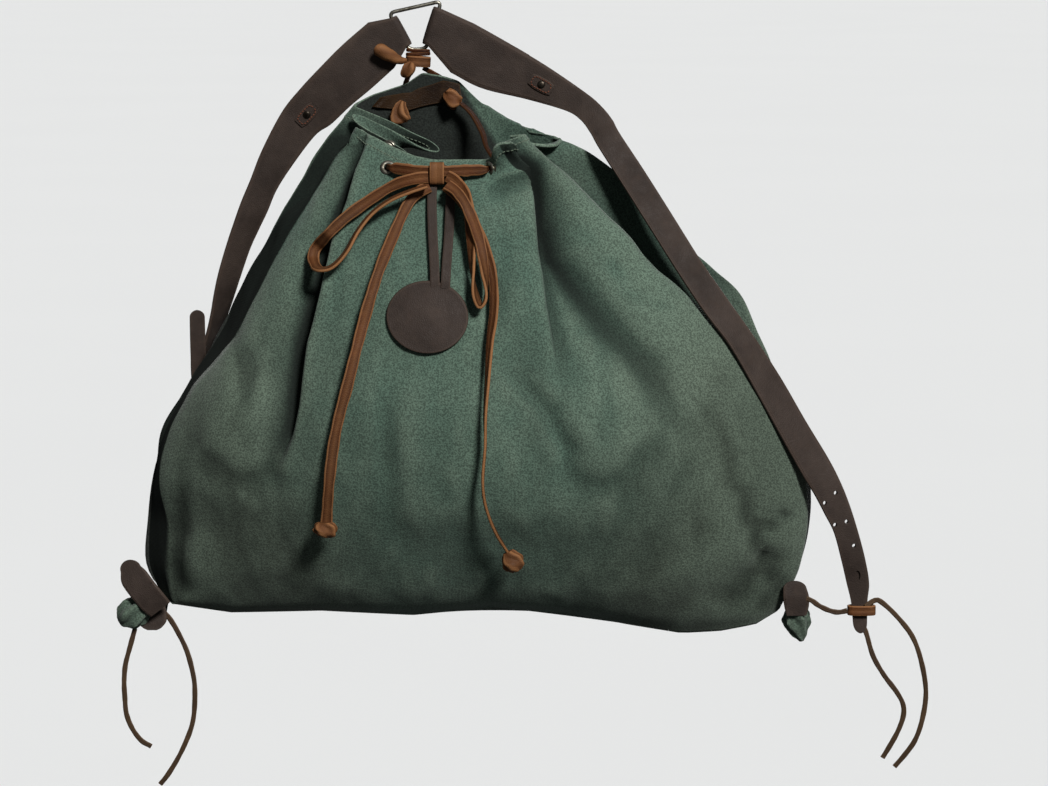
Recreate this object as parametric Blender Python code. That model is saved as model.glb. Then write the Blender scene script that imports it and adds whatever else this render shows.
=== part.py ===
"""A mountain rucksack: a canvas sack closed by a leather drawstring and hung by a wire ring.

Sizes in the tables are millimetres. X points to the right as the front is seen, Y to the back
and Z up. The origin is the inner middle of the ring's top bar, where the rucksack hangs.
"""

import math
from collections import namedtuple

import bmesh
import bpy
import numpy as np
from mathutils import Matrix, Vector
from mathutils.bvhtree import BVHTree

MM = 0.001

# Driving sizes
CANVAS = 1.8
HEM = 3.2
HEM_ROWS = 0.35
STRAP_LEATHER = 3.0
THIN_LEATHER = 2.2
LACE_WIDTH = 9.5
LACE_THICK = 2.6
TIE_WIDTH = 4.4
TIE_THICK = 2.4
WIRE = 3.2
GAP = 0.5
EYELET_HOLE = 5.4
EYELET_BARREL = 7.0
EYELET_FLANGE = 11.0

# The sack is drawn in columns round it and rows down it. Round it, 0 to FRONT_END is the front
# panel from left to right, then comes the right tuck, the back panel and the left tuck.
FRONT_END = 0.42
BACK_START = 0.56
BACK_END = 0.88
FRONT_COLUMNS = 24
RIGHT_COLUMNS = 12
LEFT_COLUMNS = 10
ROWS_DOWN = (0, 0.35, 0.75, 1.4, 2.2, 3.1, 4.1, 5.2, 6.4, 7.7, 9, 10.1, 11, 11.8, 12.4, 13)

# The hem at the mouth, a row for each turn of it: place round the sack, then position.
Hem = namedtuple("Hem", "around x y z")
HEM_TURNS = (
    Hem(0.000, -53, -30, -92),
    Hem(0.030, -46, -37, -97),
    Hem(0.055, -40, -42, -101),
    Hem(0.110, -19, -54, -111),
    Hem(0.165, 1, -60, -119),
    Hem(0.210, 17, -60, -122),
    Hem(0.318, 59, -56, -122),
    Hem(0.345, 67, -76, -117),
    Hem(0.358, 76, -74, -112),
    Hem(0.372, 84, -60, -109),
    Hem(0.394, 69, -46, -107),
    Hem(0.420, 97, -35, -101),
    Hem(0.452, 73, -28, -103),
    Hem(0.500, 113, -30, -107),
    Hem(0.530, 124, -21, -110),
    Hem(0.560, 113, -11, -107),
    Hem(0.600, 76, -14, -103),
    Hem(0.630, 63, -8, -90),
    Hem(0.670, 50, -2, -73),
    Hem(0.700, 37, 2, -61),
    Hem(0.735, 23, 3, -57),
    Hem(0.770, 6, 3, -54),
    Hem(0.800, -7, 2, -63),
    Hem(0.830, -21, 0, -67),
    Hem(0.855, -37, -3, -72),
    Hem(0.880, -54, -8, -80),
    Hem(0.920, -8, -27, -100),
    Hem(0.935, 18, -34, -110),
    Hem(0.945, 18, -40, -113),
    Hem(0.965, -8, -37, -106),
    Hem(1.000, -53, -30, -92),
)

# A row for each level of the sack, from just under the mouth to the seam at the bottom. The
# front panel spans front_left to front_right, the back panel back_left to back_right, and the
# cloth between them at each side is tucked inwards by tuck_left and tuck_right.
Level = namedtuple(
    "Level",
    "z_left z_right z_front z_back front_left front_right back_left back_right "
    "front_y front_edge_y back_edge_y back_y tuck_left tuck_right",
)
LEVELS = (
    Level(-115, -117, -149, -97, -63, 105, -80, 141, -74, -34, -12, 6, 62, 36),
    Level(-140, -148, -177, -131, -77, 134, -95, 187, -88, -38, -10, 12, 50, 36),
    Level(-168, -181, -202, -170, -94, 165, -113, 214, -100, -42, -8, 17, 40, 36),
    Level(-201, -210, -228, -208, -114, 191, -131, 244, -110, -46, -6, 21, 32, 34),
    Level(-238, -238, -254, -247, -132, 231, -151, 274, -118, -50, -6, 24, 24, 28),
    Level(-276, -271, -281, -286, -154, 269, -170, 288, -124, -54, -10, 26, 14, 14),
    Level(-314, -313, -312, -325, -186, 300, -192, 307, -130, -54, -22, 26, 2, 2),
    Level(-351, -351, -345, -363, -205, 318, -210, 321, -132, -54, -26, 25, -3, -3),
    Level(-389, -389, -379, -402, -213, 327, -221, 330, -128, -54, -24, 22, 3, -3),
    Level(-428, -428, -417, -440, -207, 329, -227, 331, -114, -50, -20, 16, 9, -2),
    Level(-465, -465, -458, -474, -210, 322, -229, 325, -90, -44, -18, 6, 7, 0),
    Level(-492, -492, -490, -498, -207, 311, -216, 315, -60, -36, -20, -6, 3, 0),
    Level(-501, -501, -504, -505, -203, 305, -206, 308, -35, -31, -26, -24, 0, 0),
)

# The lower edge, from left to right: how far it hangs below the last level at each place.
Sag = namedtuple("Sag", "x drop")
LOWER_EDGE = (
    Sag(-230, -4),
    Sag(-206, -2),
    Sag(-156, 4),
    Sag(-80, 1),
    Sag(-2, 4),
    Sag(65, -3),
    Sag(136, 4),
    Sag(180, 13),
    Sag(224, 21),
    Sag(257, 20),
    Sag(287, 15),
    Sag(311, 1),
    Sag(335, -4),
)
SAG_FROM_LEVEL = 9.0

# Grooves in the front panel, a row for each fold: its line at three places going down, and
# how deep and how wide it is there. side is how much wider it is to its right.
Fold = namedtuple(
    "Fold", "x_top z_top x_mid z_mid x_low z_low depth_top depth_mid depth_low width side"
)
FRONT_FOLDS = (
    Fold(-42, -104, -76, -205, -112, -366, 8, 15, 1, 11, 1.0),
    Fold(95, -118, 115, -192, 128, -296, 9, 16, 2, 13, 1.9),
    Fold(102, -236, 109, -327, 102, -410, 1, 6, 1, 16, 1.2),
    Fold(-30, -215, -46, -300, -40, -395, 1, 5, 1, 16, 1.0),
    Fold(262, -372, 279, -416, 310, -488, 1, 6, 3, 8, 1.0),
    Fold(228, -420, 262, -462, 300, -492, 0, 6, 2, 8, 1.0),
    Fold(-192, -384, -196, -436, -207, -490, 1, 5, 2, 8, 1.0),
    Fold(16, -135, 6, -190, 4, -260, 1, 4, 1, 9, 1.0),
)
BACK_FOLDS = (
    Fold(-20, -78, -64, -200, -110, -340, 3, 9, 1, 12, 1.0),
    Fold(40, -76, 88, -200, 150, -340, 3, 9, 1, 12, 1.0),
    Fold(8, -90, 14, -220, 10, -380, 1, 6, 1, 16, 1.0),
    Fold(110, -115, 170, -220, 232, -330, 2, 8, 1, 14, 1.0),
    Fold(250, -400, 270, -440, 300, -488, 1, 5, 2, 10, 1.0),
    Fold(-160, -400, -180, -440, -200, -488, 1, 5, 2, 10, 1.0),
)

# Soft swellings and dents of the front panel: centre, half sizes and height, minus for a dent.
Swelling = namedtuple("Swelling", "x z half_x half_z height")
FRONT_SWELLINGS = (
    Swelling(-134, -318, 38, 75, 9),
    Swelling(176, -322, 58, 72, 11),
    Swelling(30, -330, 60, 90, 6),
    Swelling(60, -445, 120, 30, -4),
    Swelling(79, -134, 13, 14, 11),
    Swelling(86, -150, 22, 7, -5),
    Swelling(60, -172, 30, 16, 4),
)

# Straps, a row for each station: outer edge, inner edge, each with its own depth in Y.
Station = namedtuple("Station", "outer_x outer_z inner_x inner_z outer_y inner_y")
LEFT_STRAP = (
    Station(-39, -11, -17, -49, -2.4, -2.4),
    Station(-61, -30, -36, -66, -2.6, -2.6),
    Station(-79, -48, -54, -81, -2.4, -2.4),
    Station(-96, -66, -70, -96, -1, -1),
    Station(-112, -86, -84, -106, 2, 2),
    Station(-129, -118, -104, -132, 4, 4),
    Station(-139, -143, -117, -152, 4, 6),
    Station(-147, -162, -125, -170, 3, 9),
    Station(-153, -179, -133, -186, 2, 13),
    Station(-159, -197, -141, -203, 1, 16),
    Station(-166, -221, -149, -225, 0, 18),
    Station(-170, -239, -155, -242, 1, 20),
    Station(-173, -256, -161, -258, 3, 24),
    Station(-177, -273, -168, -274, 6, 29),
    Station(-183, -292, -173, -294, 9, 32),
    Station(-188, -314, -172, -318, 15, 33),
    Station(-190, -345, -168, -348, 24, 33),
    Station(-196, -390, -171, -392, 29, 30),
    Station(-203, -430, -178, -430, 22, 24),
    Station(-209, -465, -184, -463, 10, 14),
    Station(-218, -490, -194, -484, -3, 2),
    Station(-230, -505, -209, -496, -11, -7),
    Station(-234, -514, -213, -511, -17, -14),
)
RIGHT_STRAP = (
    Station(50, -12, 30, -53, -2, -2),
    Station(75, -26, 56, -66, -2, -2),
    Station(109, -46, 94, -75, -4, -4),
    Station(143, -69, 126, -84, -9, -9),
    Station(156, -80, 138, -91, -14, -14),
    Station(165, -91, 146, -101, -19, -20),
    Station(171, -102, 153, -113, -23, -27),
    Station(191, -132, 173, -144, -30, -36),
    Station(214, -168, 196, -180, -38, -46),
    Station(238, -206, 219, -216, -46, -55),
    Station(259, -236, 240, -247, -52, -62),
    Station(281, -267, 262, -276, -56, -67),
    Station(304, -302, 284, -314, -58, -70),
    Station(325, -338, 304, -350, -59, -70),
    Station(344, -369, 322, -382, -59, -68),
    Station(354, -388, 333, -400, -58, -65),
    Station(362, -407, 342, -417, -56, -62),
    Station(370, -431, 350, -433, -54, -58),
    Station(377, -456, 357, -458, -50, -50),
    Station(381, -477, 362, -478, -48, -48),
    Station(380, -493, 366, -494, -46, -46),
    Station(380, -512, 368, -512, -46, -46),
)

# Holes along the free end of the right strap: place on its middle line and side of it.
StrapHole = namedtuple("StrapHole", "x z")
STRAP_HOLES = (
    StrapHole(351, -399),
    StrapHole(340, -406),
    StrapHole(360, -422),
    StrapHole(350, -427),
    StrapHole(367, -444),
)
STRAP_HOLE = 3.4
STRAP_SLOT = (4.5, 9.0)
STRAP_SLOT_AT = StrapHole(371, -470)

# The ring: corners of its wire's centre line, clockwise from the upper left.
RING_CORNERS = ((-21.6, -3.2), (22.4, 6.6), (9.8, -33.0), (-5.0, -33.8))
RING_CORNER_RADIUS = 5.6
LEG_TOP_LEFT = (-21.6, -3.2)
LEG_LOW_LEFT = (-5.0, -33.8)
LEG_TOP_RIGHT = (22.4, 6.6)
LEG_LOW_RIGHT = (9.8, -33.0)

# The tan lace that ties the back of the mouth to the ring: x, y, z.
Way = namedtuple("Way", "x y z")
HANG_STRAND_LEFT = (
    Way(-1.5, 0.5, -48.4),
    Way(-3.5, 3.5, -52),
    Way(-6, 8, -57),
    Way(-8.5, 11.5, -64),
    Way(-10, 11.5, -71),
    Way(-10.8, 8.5, -76.5),
    Way(-11.2, 3.5, -78.5),
    Way(-11.5, -1.5, -79),
)
HANG_STRAND_RIGHT = (
    Way(7.5, 0.5, -49),
    Way(12, 4, -52),
    Way(18, 8.5, -55.5),
    Way(23.5, 12, -60),
    Way(26.5, 12, -66),
    Way(28, 9, -71),
    Way(29, 4, -73),
    Way(30, -1.5, -73.5),
)
HANG_CORD = 4.4
HANG_HOLE = 6.4
HANG_HOLES = (Way(-11.2, 3, -78.5), Way(29, 3, -73))

# The drawstring inside the mouth, from each front eyelet, named where it passes through one, to
# its knot on the back patch.
DRAW_RUN_RIGHT = (
    "front_right",
    Way(70.5, -56, -127),
    Way(66, -49, -121),
    Way(60, -38, -112),
    Way(57, -27, -102),
    Way(51, -17.5, -91),
    Way(45, -12.5, -83.5),
    Way(37.9, -9.9, -77.6),
)
DRAW_RUN_LEFT = (
    "front_left",
    Way(-19.6, -49, -130),
    Way(-20.2, -41, -125),
    "tuck_front",
    "tuck_back",
    Way(-19.5, -13.5, -107.5),
    Way(-18, -11.5, -102),
    Way(-14.8, -10.2, -94.4),
)
RUN_WIDTH = 3.8
RUN_THICK = 2.2

# Laces on the front, points chosen by hand: x, z, how far the middle of the lace lies in front of
# the canvas or of what it crosses, and how far its flat side is turned, in degrees.
Drape = namedtuple("Drape", "x z clear twist")
SPAN_LEFT = (
    Drape(-17.5, -127.2, 4.8, 0),
    Drape(-8, -128, 7.5, 0),
    Drape(4, -129, 10.5, 0),
    Drape(12, -129.3, 12.5, 0),
    Drape(19.7, -129.5, 12.5, 0),
)
SPAN_RIGHT = (
    Drape(20.3, -129.5, 12.5, 0),
    Drape(28, -129.3, 12.5, 0),
    Drape(38, -129, 10.5, 0),
    Drape(48, -129, 7.5, 0),
    Drape(60, -128.7, 4.5, 0),
)
BOW_LOOP_LEFT = (
    Drape(13, -134, 15, 0),
    Drape(2, -135, 14, 0),
    Drape(-14, -140, 9.5, 0),
    Drape(-34, -152, 7, 0),
    Drape(-56, -168, 6, 0),
    Drape(-74, -186, 6, 0),
    Drape(-82, -198, 7, 0),
    Drape(-78, -207, 9, 0),
    Drape(-66, -206, 11, 0),
    Drape(-54, -194, 12, 0),
    Drape(-45, -178, 12, 0),
    Drape(-33, -163, 13, 0),
    Drape(-18, -152, 15, 0),
    Drape(-2, -145, 17, 0),
    Drape(12, -140.5, 17, 0),
)
BOW_LOOP_RIGHT = (
    Drape(28.6, -133, 13.6, 0),
    Drape(37, -138, 13.6, 0),
    Drape(45, -150, 14, 0),
    Drape(48, -175, 12.8, 0),
    Drape(49.5, -205, 10.6, 40),
    Drape(52, -226, 10.6, 90),
    Drape(56.6, -236, 11.2, 90),
    Drape(60.6, -226, 13, 90),
    Drape(59, -205, 15.8, 40),
    Drape(54.5, -180, 19.4, 0),
    Drape(46, -158, 22.5, 0),
    Drape(37, -145, 20.6, 0),
    Drape(28.6, -139.4, 18.6, 0),
)
BOW_TAIL_LEFT = (
    Drape(14, -141.5, 8, 0),
    Drape(4, -147, 7.5, 0),
    Drape(-5, -158, 5, 0),
    Drape(-16, -182, 4, 0),
    Drape(-27, -209, 3.5, 0),
    Drape(-36, -238, 3.5, 0),
    Drape(-44, -268, 3.5, 0),
    Drape(-52, -300, 3.5, 0),
    Drape(-58, -322, 3.5, 0),
    Drape(-63, -346, 3.5, 0),
    Drape(-67, -378, 3.5, 0),
    Drape(-70, -412, 3.5, 0),
)
BOW_TAIL_RIGHT = (
    Drape(27, -141.3, 8, 0),
    Drape(38, -151, 7.5, 0),
    Drape(50, -168, 5, 0),
    Drape(60, -190, 4, 0),
    Drape(66, -212, 4, 0),
    Drape(67, -238, 4, 10),
    Drape(64, -262, 4, 25),
    Drape(62, -290, 4.5, 45),
    Drape(60, -320, 5, 60),
    Drape(60, -346, 5, 70),
    Drape(58, -374, 5, 70),
    Drape(60, -396, 5, 60),
    Drape(68, -420, 5, 60),
    Drape(77, -438, 5, 50),
)

# Laces that hang free at the lower corners: x, y, z.
CORNER_LACE_LEFT_1 = (
    Way(-237.5, -33, -519.8),
    Way(-242, -34, -536),
    Way(-246, -34, -551),
    Way(-247.3, -34, -566),
    Way(-247, -33, -579),
    Way(-246, -33, -593),
    Way(-241.5, -32, -606),
    Way(-234, -31, -617),
    Way(-225.5, -30, -622.5),
)
CORNER_LACE_LEFT_2 = (
    Way(-217.6, -29.3, -501.3),
    Way(-213.8, -30.4, -505.6),
    Way(-208.6, -31.5, -511),
    Way(-202, -32, -522),
    Way(-194, -33, -539),
    Way(-189, -34, -558),
    Way(-187.5, -34, -572),
    Way(-188.5, -33, -593),
    Way(-192, -33, -608.5),
    Way(-201, -32, -629),
    Way(-211, -31, -646),
    Way(-218.3, -30, -655.5),
)
CORNER_LINK = (
    Way(332.9, -46.3, -493),
    Way(338.5, -48, -496.8),
    Way(347, -49.5, -500.7),
    Way(355, -50, -502.4),
    Way(362.8, -50, -501),
)
CORNER_LACE_RIGHT_1 = (
    Way(385.5, -47, -493),
    Way(391, -48, -493.6),
    Way(404, -48, -505.5),
    Way(418, -47, -523.5),
    Way(426, -46, -545),
    Way(430.5, -45, -571),
    Way(428.3, -44, -594),
    Way(422.7, -43, -613),
    Way(414.5, -42, -626),
    Way(405.3, -41, -637.5),
)
CORNER_LACE_RIGHT_2 = (
    Way(374.5, -42.4, -507),
    Way(376, -42, -514),
    Way(379.8, -43, -522),
    Way(385.5, -44, -541),
    Way(395, -45, -557.5),
    Way(405.4, -45, -571.3),
    Way(411.4, -44, -582.5),
    Way(412, -43, -593),
    Way(407.6, -42, -606.7),
    Way(401, -41, -619.7),
    Way(395.2, -40, -630),
)

# Gathered corners of the sack: middle line and radius.
Bunch = namedtuple("Bunch", "x y z radius")
EAR_LEFT = (
    Bunch(-213.1, -22.6, -493.3, 2.8),
    Bunch(-220, -29, -496, 4.8),
    Bunch(-224.5, -31.5, -498.5, 6.8),
    Bunch(-230, -33, -502, 9.5),
    Bunch(-236, -34, -505, 12.5),
    Bunch(-243, -34, -508, 12.5),
    Bunch(-249, -34, -511, 8.0),
    Bunch(-251.5, -34, -512, 3.0),
)
EAR_RIGHT = (
    Bunch(313.3, -28.6, -495.0, 4.0),
    Bunch(319, -30.5, -500, 7.0),
    Bunch(321, -33, -507, 11.0),
    Bunch(322, -34, -514, 11.5),
    Bunch(323.5, -35, -521, 8.5),
    Bunch(325, -36, -526, 5.0),
    Bunch(326, -36, -530, 1.8),
)

# Leather tabs round the corners, stations as on a strap.
TAB_LEFT = (
    Station(-248, -470, -231, -464, -40, -43),
    Station(-247, -479, -226, -468, -43, -45.5),
    Station(-240, -489.5, -219, -477, -44.5, -47.8),
    Station(-230, -501.5, -211, -487, -44.6, -48.4),
    Station(-223, -507.5, -206, -494, -43.6, -46.9),
)
TAB_RIGHT = (
    Station(309, -484, 329, -483, -46, -44),
    Station(309, -490, 331, -490, -47, -45),
    Station(310, -498, 331, -498, -46.2, -45.2),
    Station(312, -506, 329, -506, -45.7, -45.1),
)
TONGUE_LEFT = (
    Station(-191, -259, -178.5, -259, 0, 4),
    Station(-191, -275, -178.5, -275, 1, 6),
    Station(-191, -292, -178.5, -292, 4, 10),
    Station(-191, -312, -178.5, -313, 9, 18),
    Station(-189, -335, -177, -336, 18, 25),
    Station(-188, -352, -176, -353, 22.3, 27.4),
    Station(-188, -368, -176, -369, 25, 28),
)

# Tag: the two strips of its doubled strap, then the disc.
TAG_STRAP_WIDTH = 8.0
TAG_STRAP = (
    Drape(19, -222, 2.2, 0),
    Drape(18.5, -205, 2.0, 0),
    Drape(17, -180, 2.0, 0),
    Drape(16, -155, 1.9, 0),
    Drape(16.5, -139, 1.8, 0),
    Drape(18.5, -131, 1.8, 0),
    Drape(23, -127.5, 1.8, 0),
    Drape(28, -131, 1.8, 0),
    Drape(31, -139, 1.8, 0),
    Drape(31, -155, 1.9, 0),
    Drape(30, -180, 2.0, 0),
    Drape(28.3, -205, 2.0, 0),
    Drape(27.4, -222, 2.2, 0),
)
TAG_AT = (12.8, -244.6)
TAG_SIZE = (67.0, 57.5)
TAG_CLEAR = 5.4

# Small trim
PATCH_THICK = 1.4
PATCH_SIZE = (21.0, 12.0)
PATCH_LEFT_AT = (-94.6, -84.0)
PATCH_RIGHT_AT = (106.0, -60.5)
RIVET_SIZE = 6.5
BACK_PATCH_AROUND = (0.70, 0.838)
BACK_PATCH_ROWS = (0.12, 0.25, 0.4, 0.55, 0.7)
HANG_KNOB = (
    Bunch(-30.5, -10.5, -31.5, 5.0),
    Bunch(-29, -11, -32.5, 6.5),
    Bunch(-22, -11.5, -36.5, 6.5),
    Bunch(-15.5, -11, -40.3, 5.2),
    Bunch(-11.5, -8.7, -41.8, 4.0),
    Bunch(-7.8, -5.5, -42.6, 2.8),
)
HANG_KNOT_LEFT = (-12.5, -10.0, -85)
HANG_KNOT_RIGHT = (31.5, -8.5, -74)

# Eyelets: where they sit as seen from the front, in which layer of canvas counted from the
# front, and the angle that its face turns to the left, or None where it follows the canvas.
Eyelet = namedtuple("Eyelet", "name x z layer turn")
EYELETS = (
    Eyelet("front_left", -20.8, -127.6, 0, None),
    Eyelet("front_right", 62.5, -128.6, 0, 50),
    Eyelet("tuck_front", -21.0, -113.3, 1, None),
    Eyelet("tuck_back", -21.0, -112.5, 2, None),
)
THREAD_REACH = 2.6

# Finishes: colour, roughness and metallic value of each material.
FINISHES = {
    "canvas": ((0.075, 0.150, 0.106), 0.9, 0.0),
    "strap_leather": ((0.058, 0.040, 0.034), 0.55, 0.0),
    "lace_leather": ((0.300, 0.100, 0.024), 0.5, 0.0),
    "tie_leather": ((0.120, 0.055, 0.022), 0.6, 0.0),
    "ring_metal": ((0.42, 0.40, 0.34), 0.3, 1.0),
}
FINISH_OF = {}


def clear_scene():
    for obj in list(bpy.data.objects):
        bpy.data.objects.remove(obj)


def make_finishes():
    for name, (colour, roughness, metallic) in FINISHES.items():
        material = bpy.data.materials.new(name)
        material.use_nodes = True
        shader = material.node_tree.nodes["Principled BSDF"]
        shader.inputs["Base Color"].default_value = (*colour, 1.0)
        shader.inputs["Roughness"].default_value = roughness
        shader.inputs["Metallic"].default_value = metallic
        FINISH_OF[name] = material


def add_object(name, data, finish):
    data.materials.append(FINISH_OF[finish])
    obj = bpy.data.objects.new(name, data)
    bpy.context.scene.collection.objects.link(obj)
    return obj


def closed_mesh(name, points, faces):
    """A mesh from points in millimetres, with all its faces looking outwards."""
    mesh = bpy.data.meshes.new(name)
    mesh.from_pydata([tuple(float(c) * MM for c in p) for p in points], [], faces)
    work = bmesh.new()
    work.from_mesh(mesh)
    bmesh.ops.recalc_face_normals(work, faces=work.faces)
    work.to_mesh(mesh)
    work.free()
    return mesh


def add_mesh(name, points, faces, finish, sharp=40.0):
    """An object with a closed mesh, smooth but for edges sharper than this angle."""
    mesh = closed_mesh(name, points, faces)
    mesh.shade_smooth()
    mesh.set_sharp_from_angle(angle=math.radians(sharp))
    return add_object(name, mesh, finish)


def smooth_through(rows, steps):
    """Points on a smooth curve through the rows, steps of them from each row to the next."""
    rows = np.array(rows, float)
    padded = np.vstack([2 * rows[0] - rows[1], rows, 2 * rows[-1] - rows[-2]])
    found = []
    for before, start, end, after in zip(padded, padded[1:], padded[2:], padded[3:]):
        for t in np.arange(steps) / steps:
            found.append(
                0.5 * (2 * start + (end - before) * t
                       + (2 * before - 5 * start + 4 * end - after) * t * t
                       + (3 * start - before - 3 * end + after) * t ** 3)
            )
    found.append(rows[-1])
    return np.array(found)


def evenly(points, step):
    """The same line with its points about one step apart."""
    lengths = np.linalg.norm(np.diff(points[:, :3], axis=0), axis=1)
    along = np.concatenate([[0], np.cumsum(lengths)])
    count = max(3, int(round(along[-1] / step)) + 1)
    places = np.linspace(0, along[-1], count)
    return np.column_stack([np.interp(places, along, column) for column in points.T])


def unit(vectors):
    return vectors / np.maximum(np.linalg.norm(vectors, axis=-1, keepdims=True), 1e-9)


# The sack

def bulge(side):
    """How full a panel is from its left edge at -1 to its right edge at 1."""
    return (1 - np.abs(side) ** 2.3) ** 0.75


def panel_place(share):
    """The place across a panel, -1 to 1, of a share 0 to 1 of its cloth."""
    side = 2 * share - 1
    return 0.6 * side + 0.4 * np.sin(side * math.pi / 2)


def level_point(level, around):
    """One point of a level of the sack, before its folds."""
    if around < FRONT_END:
        side = panel_place(around / FRONT_END)
        left, right = level.front_left, level.front_right
        edge, middle, z_middle = level.front_edge_y, level.front_y, level.z_front
    elif around < BACK_START:
        share = (around - FRONT_END) / (BACK_START - FRONT_END)
        depth = 1 - abs(2 * share - 1) ** 1.2
        x = level.front_right + (level.back_right - level.front_right) * share
        y = level.front_edge_y + (level.back_edge_y - level.front_edge_y) * share
        return x - level.tuck_right * depth, y, level.z_right
    elif around < BACK_END:
        side = -panel_place((around - BACK_START) / (BACK_END - BACK_START))
        left, right = level.back_left, level.back_right
        edge, middle, z_middle = level.back_edge_y, level.back_y, level.z_back
    else:
        share = (around - BACK_END) / (1 - BACK_END)
        depth = 1 - abs(2 * share - 1) ** 1.2
        x = level.back_left + (level.front_left - level.back_left) * share
        y = level.back_edge_y + (level.front_edge_y - level.back_edge_y) * share
        return x + level.tuck_left * depth, y, level.z_left
    z_edge = level.z_left + (level.z_right - level.z_left) * (side + 1) / 2
    x = left + (right - left) * (side + 1) / 2
    y = edge + (middle - edge) * bulge(side)
    return x, y, z_edge + (z_middle - z_edge) * (1 - side * side)


def hem_point(around):
    turns = np.array(HEM_TURNS, float)
    return tuple(np.interp(around, turns[:, 0], turns[:, axis]) for axis in (1, 2, 3))


def column_places():
    """The places round the sack where its columns of points stand."""
    spans = (
        (0, FRONT_END, FRONT_COLUMNS),
        (FRONT_END, BACK_START, RIGHT_COLUMNS),
        (BACK_START, BACK_END, FRONT_COLUMNS),
        (BACK_END, 1, LEFT_COLUMNS),
    )
    return np.concatenate([np.linspace(*span, endpoint=False) for span in spans])


def on_curve(levels, row):
    """A point between the levels, on the smooth curve through them."""
    start = min(int(row), len(levels) - 2)
    t = row - start
    before = levels[start - 1] if start else 2 * levels[0] - levels[1]
    after = levels[start + 2] if start + 2 < len(levels) else 2 * levels[-1] - levels[-2]
    return 0.5 * (2 * levels[start] + (levels[start + 1] - before) * t
                  + (2 * before - 5 * levels[start] + 4 * levels[start + 1] - after) * t * t
                  + (3 * levels[start] - before - 3 * levels[start + 1] + after) * t ** 3)


def outward(grid):
    """Unit normals of a grid of rows and columns that closes on itself round the sack."""
    across = np.roll(grid, -1, axis=1) - np.roll(grid, 1, axis=1)
    down = np.gradient(grid, axis=0)
    return unit(np.cross(down, across))


def fold_depth(fold, x, z):
    """How far a fold pushes the canvas in at each place."""
    z_clamped = np.clip(z, fold.z_low, fold.z_top)
    heights = np.array([fold.z_low, fold.z_mid, fold.z_top])
    line = np.polyfit(heights, [fold.x_low, fold.x_mid, fold.x_top], 2)
    depth = np.interp(z_clamped, heights, [fold.depth_low, fold.depth_mid, fold.depth_top])
    depth = depth * np.exp(-((z - z_clamped) / 18.0) ** 2)
    offset = (x - np.polyval(line, z_clamped)) / fold.width
    offset = np.where(offset > 0, offset / fold.side, offset)
    return depth * np.exp(-offset ** 2)


def sack_surface(places, rows):
    """The outside of the sack as a grid of points, rows down it by columns round it."""
    grid = np.empty((len(rows), len(places), 3))
    for column, around in enumerate(places):
        levels = np.array([hem_point(around)] + [level_point(level, around) for level in LEVELS])
        for index, row in enumerate(rows):
            grid[index, column] = on_curve(levels, row)
    rows = np.array(rows, float)[:, None]
    sag = np.interp(grid[..., 0], [s.x for s in LOWER_EDGE], [s.drop for s in LOWER_EDGE])
    reach = np.clip((rows - SAG_FROM_LEVEL) / (len(LEVELS) - SAG_FROM_LEVEL), 0, 1)
    grid[..., 2] -= sag * reach ** 1.5
    normals = outward(grid)
    x, z = grid[..., 0], grid[..., 2]
    front = places < FRONT_END
    back = (places >= BACK_START) & (places < BACK_END)
    push = np.zeros(x.shape)
    for fold in FRONT_FOLDS:
        push -= fold_depth(fold, x, z) * front
    for fold in BACK_FOLDS:
        push -= fold_depth(fold, x, z) * back
    for one in FRONT_SWELLINGS:
        near = ((x - one.x) / one.half_x) ** 2 + ((z - one.z) / one.half_z) ** 2
        push += one.height * np.exp(-near) * front
    push *= np.clip(rows, 0.25, 1) * np.clip((len(LEVELS) - rows) / 1.5, 0, 1)
    return grid + normals * push[..., None]


def canvas_depth(rows):
    """Thickness of the cloth at each row: the hem is folded, so it is thicker."""
    return np.interp(rows, (0, HEM_ROWS, HEM_ROWS + 0.35), (HEM, HEM, CANVAS))


def flat_pairs():
    """Columns of the front and back that meet along the seam at the bottom."""
    total = 2 * FRONT_COLUMNS + RIGHT_COLUMNS + LEFT_COLUMNS
    left_tip = total - LEFT_COLUMNS // 2
    half = LEFT_COLUMNS // 2 + FRONT_COLUMNS + RIGHT_COLUMNS // 2
    return [((left_tip + k) % total, (left_tip - k) % total) for k in range(half + 1)]


def closing_faces(ring, flip):
    """Faces that close the lower end of a wall, between its front and its back."""
    pairs = [(ring + a, ring + b) for a, b in flat_pairs()]
    faces = []
    for (a, b), (c, d) in zip(pairs, pairs[1:]):
        face = [v for i, v in enumerate((a, b, d, c)) if v not in (a, b, d, c)[:i]]
        faces.append(tuple(reversed(face)) if flip else tuple(face))
    return faces


def build_sack():
    places = column_places()
    outer = sack_surface(places, ROWS_DOWN)
    inner_rows = np.array(ROWS_DOWN[:-1])
    inner = (outer - outward(outer) * canvas_depth(np.array(ROWS_DOWN))[:, None, None])[:-1]
    wide = len(places)
    points = np.vstack([outer.reshape(-1, 3), inner.reshape(-1, 3)])
    start = len(ROWS_DOWN) * wide
    faces = []
    for column in range(wide):
        right = (column + 1) % wide
        for row in range(len(ROWS_DOWN) - 1):
            low = row + 1
            faces.append((row * wide + column, low * wide + column, low * wide + right, row * wide + right))
        for row in range(len(inner_rows) - 1):
            low = row + 1
            faces.append((start + row * wide + column, start + row * wide + right,
                          start + low * wide + right, start + low * wide + column))
        faces.append((column, right, start + right, start + column))
    faces += closing_faces((len(ROWS_DOWN) - 1) * wide, False)
    faces += closing_faces(start + (len(inner_rows) - 1) * wide, True)
    return add_mesh("bag_shell", points, faces, "canvas", 50), outer, inner


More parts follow.
